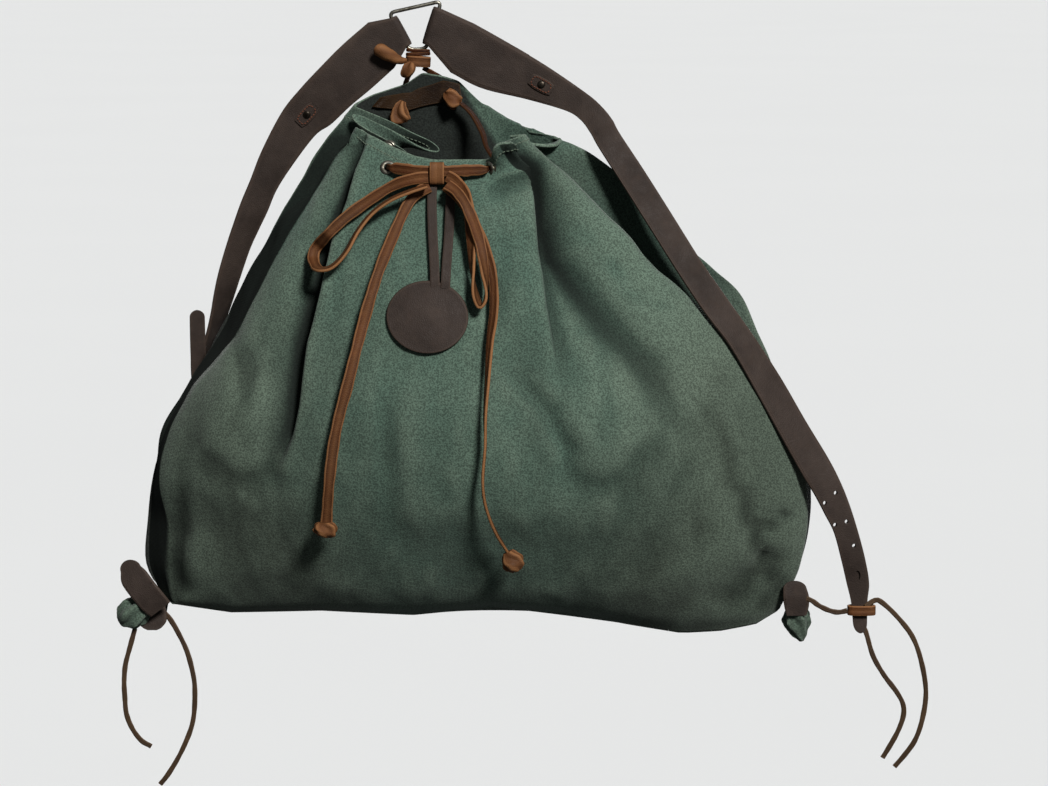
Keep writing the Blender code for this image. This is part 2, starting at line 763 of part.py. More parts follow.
class Probe:
    """Finds where the sack's outside lies in front of or behind a point of the X-Z plane."""

    def __init__(self, grid):
        deep, wide = grid.shape[:2]
        points = [Vector(p) for p in grid.reshape(-1, 3)]
        faces = [(r * wide + c, (r + 1) * wide + c, (r + 1) * wide + (c + 1) % wide,
                  r * wide + (c + 1) % wide) for r in range(deep - 1) for c in range(wide)]
        self.tree = BVHTree.FromPolygons(points, faces)

    def front(self, x, z):
        """How far back the front of the sack lies here, or None beside the sack."""
        hit = self.tree.ray_cast(Vector((x, -1000, z)), Vector((0, 1, 0)))[0]
        return hit.y if hit else None

    def layer(self, x, z, number):
        """The place and the outward side of one layer of canvas, counted from the front."""
        y = -1000
        for _ in range(number + 1):
            place, facing = self.tree.ray_cast(Vector((x, y, z)), Vector((0, 1, 0)))[:2]
            y = place.y + 0.01
        return place, facing

    def back(self, x, z):
        hit = self.tree.ray_cast(Vector((x, 1000, z)), Vector((0, -1, 0)))[0]
        return hit.y if hit else None


# Straps and other flat leather

class Band:
    """A flat strip given by its two edges, with the way its outer face looks at each station."""

    def __init__(self, outer, inner, flip=False):
        self.outer, self.inner = np.array(outer), np.array(inner)
        along = unit(np.gradient((self.outer + self.inner) / 2, axis=0))
        facing = unit(np.cross(along, self.inner - self.outer))
        self.facing = -facing if flip else facing

    def middle(self):
        return (self.outer + self.inner) / 2

    def solid(self, name, thickness, finish):
        half = self.facing * thickness / 2
        rings = np.stack([self.outer + half, self.inner + half, self.inner - half, self.outer - half], 1)
        count = len(rings)
        faces = [(0, 1, 2, 3), tuple((count - 1) * 4 + k for k in (3, 2, 1, 0))]
        for ring in range(count - 1):
            for k in range(4):
                a, b = ring * 4 + k, ring * 4 + (k + 1) % 4
                faces.append((a, a + 4, b + 4, b))
        return add_mesh(name, rings.reshape(-1, 3), faces, finish)

    def nearest(self, x, z):
        middle = self.middle()
        return int(np.argmin(np.hypot(middle[:, 0] - x, middle[:, 2] - z)))

    def plate(self, x, z, length, width, lift):
        """A short strip that lies on this one, lift in front of its middle."""
        at = self.nearest(x, z)
        middle = self.middle()[at]
        across = unit(self.inner[at] - self.outer[at])
        along = unit(np.cross(self.facing[at], across))
        centre = middle + self.facing[at] * lift
        places = np.array([-0.5, -0.42, 0.42, 0.5]) * length
        halves = np.array([0.42, 0.5, 0.5, 0.42]) * width
        outer = [centre + along * p - across * h for p, h in zip(places, halves)]
        inner = [centre + along * p + across * h for p, h in zip(places, halves)]
        return Band(outer, inner)


def station_edges(stations, steps):
    rows = smooth_through([tuple(s) for s in stations], steps)
    return rows[:, [0, 4, 1]], rows[:, [2, 5, 3]]


def windowed(values, reach, pick):
    """Each value picked anew from itself and its neighbours, reach of them either way."""
    padded = np.pad(values, reach, mode="edge")
    shifts = [padded[k:len(padded) - 2 * reach + k] for k in range(2 * reach + 1)]
    return pick(shifts, axis=0)


def settled(edge, probe_side, clearance, behind):
    """Moves an edge in Y to clear the sack, then smooths what it moved."""
    edge = edge.copy()
    pushed = []
    for x, y, z in edge:
        under = probe_side(x, z)
        if under is not None:
            y = max(y, under + clearance) if behind else min(y, under - clearance)
        pushed.append(y)
    edge[:, 1] = windowed(windowed(pushed, 2, np.max if behind else np.min), 2, np.mean)
    return edge


def rounded_end(outer, inner, reach):
    """Adds stations that close a strip with a round end."""
    along = unit((outer[-1] + inner[-1]) / 2 - (outer[-2] + inner[-2]) / 2)
    middle, half = (outer[-1] + inner[-1]) / 2, (inner[-1] - outer[-1]) / 2
    for angle in (30, 55, 78):
        step = middle + along * reach * math.sin(math.radians(angle))
        cut = half * math.cos(math.radians(angle))
        outer, inner = np.vstack([outer, step - cut]), np.vstack([inner, step + cut])
    return outer, inner


def leg_fold(top, low, first, side):
    """Edges of the strap end that folds round a leg of the ring, back layer first."""
    top, low = np.array([top[0], 0, top[1]]), np.array([low[0], 0, low[1]])
    down = unit(low - top)
    out = np.array([down[2], 0, -down[0]]) * side
    upper, lower = top + down * first[0], top + down * first[1]
    radius = WIRE / 2 + GAP + STRAP_LEATHER / 2
    rows = []
    for angle in (0, 30, 60, 90, 120, 150, 180):
        turn = math.radians(angle)
        rows.append(out * -radius * math.sin(turn) + np.array([0, radius * math.cos(turn), 0]))
    return np.array([upper + r for r in rows]), np.array([lower + r for r in rows])


def strap_edges(stations, top, low, first, side, layer_y, back_rows):
    """Both edges of a strap from the end of its back layer, round the ring, to its free end."""
    outer, inner = station_edges(stations, 2)
    fold_outer, fold_inner = leg_fold(top, low, first, side)
    back_outer, back_inner = outer[:back_rows][::-1].copy(), inner[:back_rows][::-1].copy()
    back_outer[:, 1] = layer_y
    back_inner[:, 1] = layer_y
    return (np.vstack([back_outer, fold_outer, outer]), np.vstack([back_inner, fold_inner, inner]))


def round_cutter(name, centre, axis, radius, depth):
    """A hidden cylinder for cutting a hole."""
    mesh = bpy.data.meshes.new(name)
    work = bmesh.new()
    bmesh.ops.create_cone(work, cap_ends=True, segments=10, radius1=radius * MM, radius2=radius * MM,
                          depth=depth * MM)
    turn = Vector((0, 0, 1)).rotation_difference(Vector(axis).normalized()).to_matrix().to_4x4()
    place = Matrix.Translation(Vector(centre) * MM) @ turn
    bmesh.ops.transform(work, matrix=place, verts=work.verts)
    work.to_mesh(mesh)
    work.free()
    return hidden(name, mesh)


def hidden(name, mesh):
    cutter = bpy.data.objects.new(name, mesh)
    bpy.context.scene.collection.objects.link(cutter)
    cutter.hide_render = True
    cutter.display_type = "WIRE"
    return cutter


def cut(obj, cutter):
    change = obj.modifiers.new("cut " + cutter.name, "BOOLEAN")
    change.operation = "DIFFERENCE"
    change.object = cutter


def turned(name, profile, centre, axis, segments, finish):
    """A closed ring turned round an axis: the profile is radius and height, a closed outline."""
    turn = Vector((0, 0, 1)).rotation_difference(Vector(axis).normalized()).to_matrix()
    points, faces = [], []
    for k in range(segments):
        angle = 2 * math.pi * k / segments
        for radius, height in profile:
            spot = turn @ Vector((radius * math.cos(angle), radius * math.sin(angle), height))
            points.append(np.array(centre) + np.array(spot))
    wide = len(profile)
    for k in range(segments):
        for p in range(wide):
            a, b = k * wide + p, k * wide + (p + 1) % wide
            c, d = (k + 1) % segments * wide + (p + 1) % wide, (k + 1) % segments * wide + p
            faces.append((a, b, c, d))
    return add_mesh(name, points, faces, finish, 30)


def squared(share):
    """A share of a circle's radius pushed towards that of a box with round corners."""
    return math.copysign(abs(share) ** 0.6, share)


def loop_band(name, centre, size, width, thickness, axis, finish, corners=16):
    """A strip closed on itself: an oval of this size round the axis X or Z, width along it."""
    points, faces = [], []
    for k in range(corners):
        angle = 2 * math.pi * k / corners
        for half, along in ((0, -1), (0, 1), (thickness, 1), (thickness, -1)):
            a = (size[0] / 2 - half) * squared(math.cos(angle))
            b = (size[1] / 2 - half) * squared(math.sin(angle))
            spot = (along * width / 2, a, b) if axis == "X" else (b, a, along * width / 2)
            points.append([c + s for c, s in zip(centre, spot)])
    for k in range(corners):
        for p in range(4):
            a, b = k * 4 + p, k * 4 + (p + 1) % 4
            c, d = (k + 1) % corners * 4 + (p + 1) % 4, (k + 1) % corners * 4 + p
            faces.append((a, b, c, d))
    return add_mesh(name, points, faces, finish)


def knot(name, centre, size, finish, lean=0.0):
    """A tight knot: an oval body with two crossing turns standing out of it."""
    rows, segments = 7, 10
    points = [(0, 0, size[2] / 2)]
    for row in range(1, rows):
        polar = math.pi * row / rows
        for k in range(segments):
            angle = 2 * math.pi * k / segments
            turns = 1 + 0.09 * math.cos(2 * angle + 3 * polar) + 0.05 * math.cos(4 * polar)
            points.append((size[0] / 2 * turns * math.sin(polar) * math.cos(angle),
                           size[1] / 2 * turns * math.sin(polar) * math.sin(angle),
                           size[2] / 2 * math.cos(polar)))
    points.append((0, 0, -size[2] / 2))
    turn = Matrix.Rotation(math.radians(lean), 3, "Y")
    points = [np.array(turn @ Vector(p)) + np.array(centre) for p in points]
    last = len(points) - 1
    faces = []
    for k in range(segments):
        right = (k + 1) % segments
        faces.append((0, 1 + k, 1 + right))
        faces.append((last, last - segments + right, last - segments + k))
        for row in range(rows - 2):
            a, b = 1 + row * segments + k, 1 + row * segments + right
            faces.append((a, a + segments, b + segments, b))
    return add_mesh(name, points, faces, finish)


def bunch(name, rows, finish):
    """A gathered bunch of cloth along a line, round across it, closed at both ends."""
    rows = smooth_through([tuple(r) for r in rows], 2)
    middle, radius = rows[:, :3], rows[:, 3]
    along = unit(np.gradient(middle, axis=0))
    across = unit(np.cross(along, np.array([0, 1.0, 0])))
    third = np.cross(along, across)
    sides, points, faces = 9, [], []
    for at in range(len(rows)):
        for k in range(sides):
            angle = 2 * math.pi * k / sides
            ripple = 1 + 0.06 * math.cos(3 * angle + at)
            points.append(middle[at] + radius[at] * ripple
                          * (across[at] * math.cos(angle) + third[at] * math.sin(angle)))
    for at in range(len(rows) - 1):
        for k in range(sides):
            a, b = at * sides + k, at * sides + (k + 1) % sides
            faces.append((a, b, b + sides, a + sides))
    faces.append(tuple(range(sides)))
    faces.append(tuple(reversed(range((len(rows) - 1) * sides, len(rows) * sides))))
    return add_mesh(name, points, faces, finish)


def lace(name, points, width, thickness, finish, twists=None):
    """A flat lace along a line: a curve with a flat bevel and closed ends."""
    curve = bpy.data.curves.new(name, "CURVE")
    curve.dimensions = "3D"
    curve.fill_mode = "FULL"
    curve.bevel_depth = thickness / 2 * MM
    curve.extrude = (width - thickness) / 2 * MM
    curve.bevel_resolution = 0
    curve.resolution_u = 1
    curve.use_fill_caps = True
    curve.twist_mode = "MINIMUM"
    line = curve.splines.new("POLY")
    line.points.add(len(points) - 1)
    for index, point in enumerate(points):
        line.points[index].co = (*[float(c) * MM for c in point], 1)
        line.points[index].tilt = math.radians(twists[index]) if twists is not None else 0.0
    return add_object(name, curve, finish)


def free_lace(name, rows, width, thickness, finish, step):
    points = evenly(smooth_through([tuple(r) for r in rows], 6), step)
    return lace(name, points, width, thickness, finish)


def draped(rows, probe, width, steps=6, reach=2):
    """The line of a lace that lies on the front of the sack, from hand-chosen route points.

    Each point clears the canvas at the points beside it too, reach of them either way."""
    rows = smooth_through([tuple(r) for r in rows], steps)
    x, z, clear, twist = rows.T
    y = []
    for index in range(len(rows)):
        under = [probe.front(x[index] + side * width / 2, z[index] + drop)
                 for side in (-1, 0, 1) for drop in (-2, 2)]
        y.append(min(u for u in under if u is not None) - clear[index])
    y = windowed(windowed(y, reach, np.min), reach, np.mean)
    return np.column_stack([x, y, z, twist])


def draped_lace(name, rows, probe, width, thickness, finish, step):
    line = evenly(draped(rows, probe, width), step)
    lace(name, line[:, :3], width, thickness, finish, line[:, 3])
    return line


# The pieces

def build_ring():
    """The bent wire ring, with round corners, closed on itself."""
    corners = [np.array([x, 0, z]) for x, z in RING_CORNERS]
    line = []
    for before, corner, after in zip(corners[-1:] + corners[:-1], corners, corners[1:] + corners[:1]):
        start = corner + unit(before - corner) * RING_CORNER_RADIUS
        end = corner + unit(after - corner) * RING_CORNER_RADIUS
        for t in (0, 0.33, 0.67, 1):
            line.append((1 - t) ** 2 * start + 2 * t * (1 - t) * corner + t * t * end)
    line = np.array(line)
    along = unit(np.roll(line, -1, axis=0) - np.roll(line, 1, axis=0))
    side = np.cross(along, np.array([0, 1.0, 0]))
    points, faces, sides = [], [], 8
    for at in range(len(line)):
        for k in range(sides):
            angle = 2 * math.pi * (k + 0.5) / sides
            points.append(line[at] + WIRE / 2 * (side[at] * math.cos(angle)
                                                 + np.array([0, math.sin(angle), 0])))
    for at in range(len(line)):
        after = (at + 1) % len(line)
        for k in range(sides):
            right = (k + 1) % sides
            faces.append((at * sides + k, at * sides + right, after * sides + right, after * sides + k))
    add_mesh("hang_ring", points, faces, "ring_metal")


def build_straps(probe):
    layer = STRAP_LEATHER / 2 + 0.4
    outer, inner = strap_edges(LEFT_STRAP, LEG_TOP_LEFT, LEG_LOW_LEFT, (4.6, 31.8), 1, layer, 4)
    start = 4 + 7
    outer[start:] = settled(outer[start:], probe.back, STRAP_LEATHER / 2 + 1.5, True)
    inner[start:] = settled(inner[start:], probe.back, STRAP_LEATHER / 2 + 1.5, True)
    outer, inner = rounded_end(outer, inner, 10)
    left = Band(outer, inner)
    left.solid("strap_left", STRAP_LEATHER, "strap_leather")

    outer, inner = strap_edges(RIGHT_STRAP, LEG_TOP_RIGHT, LEG_LOW_RIGHT, (5.8, 38.5), -1, layer, 4)
    outer[start:] = settled(outer[start:], probe.front, STRAP_LEATHER / 2 + 1.5, False)
    inner[start:] = settled(inner[start:], probe.front, STRAP_LEATHER / 2 + 1.5, False)
    outer, inner = rounded_end(outer, inner, 9)
    right = Band(outer, inner, flip=True)
    strap = right.solid("strap_right", STRAP_LEATHER, "strap_leather")
    for index, hole in enumerate(STRAP_HOLES):
        at = right.nearest(hole.x, hole.z)
        centre = right.middle()[at].copy()
        centre[0], centre[2] = hole.x, hole.z
        cut(strap, round_cutter("strap_hole_%d" % index, centre, right.facing[at], STRAP_HOLE / 2, 14))
    at = right.nearest(STRAP_SLOT_AT.x, STRAP_SLOT_AT.z)
    slot = right.plate(STRAP_SLOT_AT.x, STRAP_SLOT_AT.z, STRAP_SLOT[1], STRAP_SLOT[0], 0)
    half = right.facing[at] * 7
    corners = [slot.outer[0], slot.inner[0], slot.inner[-1], slot.outer[-1]]
    points = [c + half for c in corners] + [c - half for c in corners]
    faces = [(0, 1, 2, 3), (7, 6, 5, 4), (0, 4, 5, 1), (1, 5, 6, 2), (2, 6, 7, 3), (3, 7, 4, 0)]
    cut(strap, hidden("strap_slot", closed_mesh("strap_slot", points, faces)))
    return left, right


def build_strap_trim(left, right):
    lift = STRAP_LEATHER / 2 + GAP + PATCH_THICK / 2
    for side, band, spot in (("left", left, PATCH_LEFT_AT), ("right", right, PATCH_RIGHT_AT)):
        plate = band.plate(*spot, PATCH_SIZE[0], PATCH_SIZE[1], lift)
        plate.solid("strap_patch_" + side, PATCH_THICK, "strap_leather")
        at = band.nearest(*spot)
        facing = band.facing[at]
        centre = band.middle()[at] + facing * (lift + PATCH_THICK / 2 + GAP)
        top = RIVET_SIZE / 2
        profile = [(0.6, 0), (top, 0), (top, 0.8), (top * 0.7, 1.5), (0.6, 1.7)]
        turned("strap_rivet_" + side, profile, centre, facing, 12, "ring_metal")
    outer, inner = station_edges(TONGUE_LEFT, 2)
    outer, inner = outer[::-1], inner[::-1]
    outer, inner = rounded_end(outer, inner, 6)
    Band(outer, inner).solid("strap_tongue_left", THIN_LEATHER, "strap_leather")


def build_back_patch(places):
    """The leather patch inside the back of the mouth: a strip of the sack's own surface."""
    first, last = np.searchsorted(places, BACK_PATCH_AROUND)
    picks = np.arange(first, last + 1, 2)
    grid = sack_surface(places, BACK_PATCH_ROWS)
    inwards = outward(grid)
    near = (grid - inwards * (HEM + GAP))[:, picks]
    far = (grid - inwards * (HEM + GAP + THIN_LEATHER))[:, picks]
    deep, wide = near.shape[:2]
    points = np.vstack([near.reshape(-1, 3), far.reshape(-1, 3)])
    back = deep * wide
    faces = []
    for r in range(deep - 1):
        for c in range(wide - 1):
            a, b = r * wide + c, (r + 1) * wide + c
            faces.append((a, b, b + 1, a + 1))
            faces.append((back + a, back + a + 1, back + b + 1, back + b))
    edge = [c for c in range(wide)] + [r * wide + wide - 1 for r in range(1, deep)]
    edge += [(deep - 1) * wide + c for c in range(wide - 2, -1, -1)]
    edge += [r * wide for r in range(deep - 2, 0, -1)]
    for a, b in zip(edge, edge[1:] + edge[:1]):
        faces.append((a, b, back + b, back + a))
    return add_mesh("back_patch", points, faces, "strap_leather")


def eyelet_profile(spare):
    """Half section of an eyelet that grips the canvas, larger all round by the spare."""
    barrel, flange = EYELET_BARREL / 2 + spare, EYELET_FLANGE / 2 + spare
    grip = CANVAS / 2 + 0.5 - spare
    rim = CANVAS / 2 + 1.4 + spare
    return [(EYELET_HOLE / 2, -rim), (flange, -rim), (flange, -grip), (barrel, -grip),
            (barrel, grip), (flange, grip), (flange, rim), (EYELET_HOLE / 2, rim)]


def eyelet_seat(eyelet, probe):
    """The middle of an eyelet in the thickness of the canvas, and the way its face looks."""
    place, facing = probe.layer(eyelet.x, eyelet.z, eyelet.layer)
    if eyelet.turn is not None:
        turn = math.radians(eyelet.turn)
        facing = Vector((-math.sin(turn), -math.cos(turn), 0))
    return place - facing * CANVAS / 2, facing


def threaded(rows, probe):
    """A route whose names of eyelets are replaced by points straight through them."""
    seats = {e.name: eyelet_seat(e, probe) for e in EYELETS}
    points = []
    for row in rows:
        if isinstance(row, str):
            centre, facing = seats[row]
            way = -1 if row == "tuck_front" else 1
            for reach in (THREAD_REACH, 0, -THREAD_REACH):
                points.append(centre + facing * reach * way)
        else:
            points.append(Vector(row))
    return [tuple(p) for p in points]


def build_eyelets(shell, probe):
    for eyelet in EYELETS:
        centre, facing = eyelet_seat(eyelet, probe)
        turned("eyelet_" + eyelet.name, eyelet_profile(0), centre, facing, 10, "ring_metal")
        barrel, flange = EYELET_BARREL / 2 + 0.4, EYELET_FLANGE / 2 + 0.4
        cut(shell, eyelet_cutter("eyelet_room_" + eyelet.name, centre, facing, barrel, flange))


def eyelet_cutter(name, centre, axis, barrel, flange):
    """Room for an eyelet: a hole for its barrel and a seat for each flange, deeper inside."""
    inside, shallow, deep = CANVAS / 2 + 0.1, CANVAS / 2 + 1.9, CANVAS / 2 + 3.0
    profile = [(-deep, flange), (-inside, flange), (-inside, barrel), (inside, barrel),
               (inside, flange), (shallow, flange)]
    turn = Vector((0, 0, 1)).rotation_difference(Vector(axis).normalized()).to_matrix()
    segments, points, faces = 12, [], []
    for height, radius in profile:
        for k in range(segments):
            angle = 2 * math.pi * (k + 0.5) / segments
            spot = turn @ Vector((radius * math.cos(angle), radius * math.sin(angle), height))
            points.append(Vector(centre) + spot)
    for row in range(len(profile) - 1):
        for k in range(segments):
            a, b = row * segments + k, row * segments + (k + 1) % segments
            faces.append((a, b, b + segments, a + segments))
    faces.append(tuple(range(segments)))
    faces.append(tuple(range((len(profile) - 1) * segments, len(profile) * segments)))
    return hidden(name, closed_mesh(name, points, faces))


def build_hanging(shell, patch):
    loop_band("hang_loop", (2.4, 0, -37.4), (9.2, 17.0), 6.4, 2.4, "X", "lace_leather")
    loop_band("hang_wrap", (2.8, 0, -43.0), (15.0, 21.0), 9.5, 2.4, "Z", "lace_leather")
    bunch("hang_knob", HANG_KNOB, "lace_leather")
    free_lace("hang_strand_left", HANG_STRAND_LEFT, HANG_CORD, 2.8, "lace_leather", 6)
    free_lace("hang_strand_right", HANG_STRAND_RIGHT, HANG_CORD, 2.8, "lace_leather", 6)
    for index, hole in enumerate(HANG_HOLES):
        for obj in (shell, patch):
            name = "hang_hole_%d_%s" % (index, obj.name)
            cut(obj, round_cutter(name, (hole.x, hole.y, hole.z), (0, 1, 0.15), HANG_HOLE / 2, 26))
    knot("hang_knot_left", HANG_KNOT_LEFT, (15, 10, 18), "lace_leather", 15)
    knot("hang_knot_right", HANG_KNOT_RIGHT, (15, 10, 12), "lace_leather", -20)


def build_drawstring(probe):
    left = draped_lace("draw_span_left", SPAN_LEFT, probe, LACE_WIDTH, LACE_THICK, "lace_leather", 10)
    right = draped_lace("draw_span_right", SPAN_RIGHT, probe, LACE_WIDTH, LACE_THICK, "lace_leather", 10)
    for name, rows in (("draw_run_left", DRAW_RUN_LEFT), ("draw_run_right", DRAW_RUN_RIGHT)):
        free_lace(name, threaded(rows, probe), RUN_WIDTH, RUN_THICK, "lace_leather", 4.2)
    wrap_at = ((left[-1, 0] + right[0, 0]) / 2, (left[-1, 1] + right[0, 1]) / 2, left[-1, 2] - 1.6)
    loop_band("bow_wrap", wrap_at, (9.6, 18.0), 12.0, 2.2, "X", "lace_leather")
    draped_lace("bow_loop_left", BOW_LOOP_LEFT, probe, LACE_WIDTH, LACE_THICK, "lace_leather", 12)
    draped_lace("bow_loop_right", BOW_LOOP_RIGHT, probe, LACE_WIDTH, LACE_THICK, "lace_leather", 12)
    left = draped_lace("bow_tail_left", BOW_TAIL_LEFT, probe, LACE_WIDTH, LACE_THICK, "lace_leather", 17)
    right = draped_lace("bow_tail_right", BOW_TAIL_RIGHT, probe, 8.0, LACE_THICK, "lace_leather", 16)
    x, y, z = left[-1, :3]
    knot("tail_knot_left", (x - 1, y - 1, z - 7.6), (19, 11, 14), "lace_leather", 0)
    x, y, z = right[-1, :3]
    knot("tail_knot_right", (x + 5.5, y - 1, z - 9), (17, 11, 18), "lace_leather", -30)


def build_tag(probe):
    """The plain round tag and the doubled strap that it hangs by."""
    rows = evenly(draped(TAG_STRAP, probe, TAG_STRAP_WIDTH, reach=1), 9)
    along = unit(np.gradient(rows[:, [0, 2]], axis=0))
    across = np.column_stack([along[:, 1], np.zeros(len(rows)), -along[:, 0]])
    middle = rows[:, :3]
    half = across * TAG_STRAP_WIDTH / 2
    Band(middle + half, middle - half, flip=True).solid("tag_strap", THIN_LEATHER, "strap_leather")
    x, z = TAG_AT
    corners = 36
    outline = []
    for k in range(corners):
        angle = 2 * math.pi * k / corners
        outline.append((x + TAG_SIZE[0] / 2 * math.cos(angle), z + TAG_SIZE[1] / 2 * math.sin(angle)))
    lean = (probe.front(x, z + 20) - probe.front(x, z - 20)) / 40
    levels = []
    for u, w in outline:
        levels.append(probe.front(u, w) - lean * (w - z))
    face = min(min(levels), probe.front(x, z)) - TAG_CLEAR
    front = [(u, face + lean * (w - z) - THIN_LEATHER / 2, w) for u, w in outline]
    back = [(u, face + lean * (w - z) + THIN_LEATHER / 2, w) for u, w in outline]
    faces = [tuple(range(corners)), tuple(reversed(range(corners, 2 * corners)))]
    for k in range(corners):
        right = (k + 1) % corners
        faces.append((k, k + corners, right + corners, right))
    add_mesh("tag_disc", front + back, faces, "strap_leather")


def build_corners():
    bunch("corner_ear_left", EAR_LEFT, "canvas")
    bunch("corner_ear_right", EAR_RIGHT, "canvas")
    outer, inner = station_edges(TAB_LEFT, 2)
    outer, inner = rounded_end(outer[::-1], inner[::-1], 8)
    Band(outer, inner).solid("corner_tab_left", THIN_LEATHER, "strap_leather")
    outer, inner = station_edges(TAB_RIGHT, 2)
    outer, inner = rounded_end(outer[::-1], inner[::-1], 7)
    Band(outer, inner).solid("corner_tab_right", THIN_LEATHER, "strap_leather")
    for name, rows in (
        ("corner_lace_left_1", CORNER_LACE_LEFT_1),
        ("corner_lace_left_2", CORNER_LACE_LEFT_2),
        ("corner_link", CORNER_LINK),
        ("corner_lace_right_1", CORNER_LACE_RIGHT_1),
        ("corner_lace_right_2", CORNER_LACE_RIGHT_2),
    ):
        free_lace(name, rows, TIE_WIDTH, TIE_THICK, "tie_leather", 13)
    loop_band("strap_knot", (375, -46.8, -501), (11.5, 24.0), 8.5, 2.2, "Z", "lace_leather")


def main():
    clear_scene()
    make_finishes()
    shell, outer, inner = build_sack()
    probe = Probe(outer)
    build_ring()
    left, right = build_straps(probe)
    build_strap_trim(left, right)
    patch = build_back_patch(column_places())
    build_eyelets(shell, probe)
    build_hanging(shell, patch)
    build_drawstring(probe)
    build_tag(probe)
    build_corners()


main()
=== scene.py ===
"""The looks of the mountain rucksack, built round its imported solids.

The tables are millimetres, X to the right, Y to the back and Z up, with the origin on the ring.
"""

import math
from collections import namedtuple

import bmesh
import bpy
import numpy as np
from mathutils import Matrix, Vector, noise
from mathutils.bvhtree import BVHTree


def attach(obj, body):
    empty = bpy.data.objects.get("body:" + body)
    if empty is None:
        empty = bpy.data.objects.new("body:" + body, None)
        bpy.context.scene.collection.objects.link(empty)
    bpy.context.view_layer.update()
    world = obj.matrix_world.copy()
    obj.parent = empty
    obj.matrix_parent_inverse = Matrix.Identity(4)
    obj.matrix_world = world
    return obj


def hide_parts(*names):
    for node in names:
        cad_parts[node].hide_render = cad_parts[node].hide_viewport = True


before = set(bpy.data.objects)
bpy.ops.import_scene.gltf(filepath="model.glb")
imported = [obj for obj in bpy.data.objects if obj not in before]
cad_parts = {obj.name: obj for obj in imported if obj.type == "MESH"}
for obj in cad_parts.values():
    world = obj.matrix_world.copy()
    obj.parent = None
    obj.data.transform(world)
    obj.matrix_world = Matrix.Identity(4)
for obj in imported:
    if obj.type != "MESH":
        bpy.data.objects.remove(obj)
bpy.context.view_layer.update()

MM = 0.001
CANVAS = 1.8
STRAP_LEATHER = 3.0
THIN_LEATHER = 2.2
LACE_WIDTH = 9.5
LACE_THICK = 2.6
TIE_WIDTH = 4.4
TIE_THICK = 2.4
WIRE = 3.2
GAP = 0.5
EYELET_HOLE = 2.9
EYELET_BARREL = 3.7
EYELET_FLANGE = 6.3
THREAD = 0.0011  # from one thread of the weave to the next, in metres

# The photograph's view
TARGET = (0.0913, -0.060, -0.315)
EYE_DISTANCE = 3.0
PIXEL = 0.83e-3
PHOTO_WIDTH = 1048

# Shares of the way round the sack, from the front's left edge over the right side and the back to
# the left side, and the columns of points on each part.
FRONT_END = 0.42
BACK_START = 0.56
BACK_END = 0.88
FRONT_COLUMNS = 150
RIGHT_COLUMNS = 50
LEFT_COLUMNS = 76

# How far across the front the columns at its two deepest folds stand, and how wide the shadow
# painted beside them is at each height.
DEEP_SHARE = 0.13
DEEP_SHADE = ((-372, -318, -268, -227, -186, -140), (10, 15, 15, 12, 8, 5))
FLAP_SHARE = 0.84
FLAP_SHADE = ((0,), (12,))

# The hem at the mouth, a row for each turn of it: place round the sack, then position.
HEM_TURNS = (
    (0, -50, -33, -96), (0.02, -44, -38, -98), (0.055, -38, -42, -101.5), (0.11, -19, -52, -111),
    (0.165, 1, -58, -119), (0.21, 17, -60, -122), (0.318, 60, -57, -122), (0.332, 65, -66, -121),
    (0.342, 66, -76, -112), (0.352, 72, -78, -107), (0.366, 83, -76, -107), (0.374, 86, -68, -109),
    (0.394, 74, -50, -108), (0.42, 95, -38, -102), (0.44, 78, -32, -104), (0.465, 96, -34, -111),
    (0.49, 110, -32, -113), (0.515, 118, -25, -113), (0.535, 123, -14, -108.5),
    (0.56, 116, -4, -105.5), (0.6, 93, 2, -101), (0.63, 72, 5, -91.5), (0.67, 53, 6, -77),
    (0.7, 37, 6, -61.5), (0.735, 23, 3, -57), (0.77, 6, 3, -54), (0.8, -7, 2, -63),
    (0.83, -21, 0, -67), (0.855, -37, -3, -72), (0.88, -53, -8, -80), (0.892, -40, -13, -85),
    (0.905, -19, -21, -93), (0.917, 3, -28, -104), (0.924, 15, -31, -108), (0.929, 25, -35, -117),
    (0.934, 16, -37, -117), (0.94, -1, -34, -110), (0.948, -14, -30, -101.5),
    (0.96, -39, -22, -90), (0.967, -54, -17, -84), (0.972, -52, -28, -93), (0.982, -14, -46, -110),
    (0.988, 1, -51, -120), (0.992, -13, -49, -114), (1, -50, -33, -96),
)

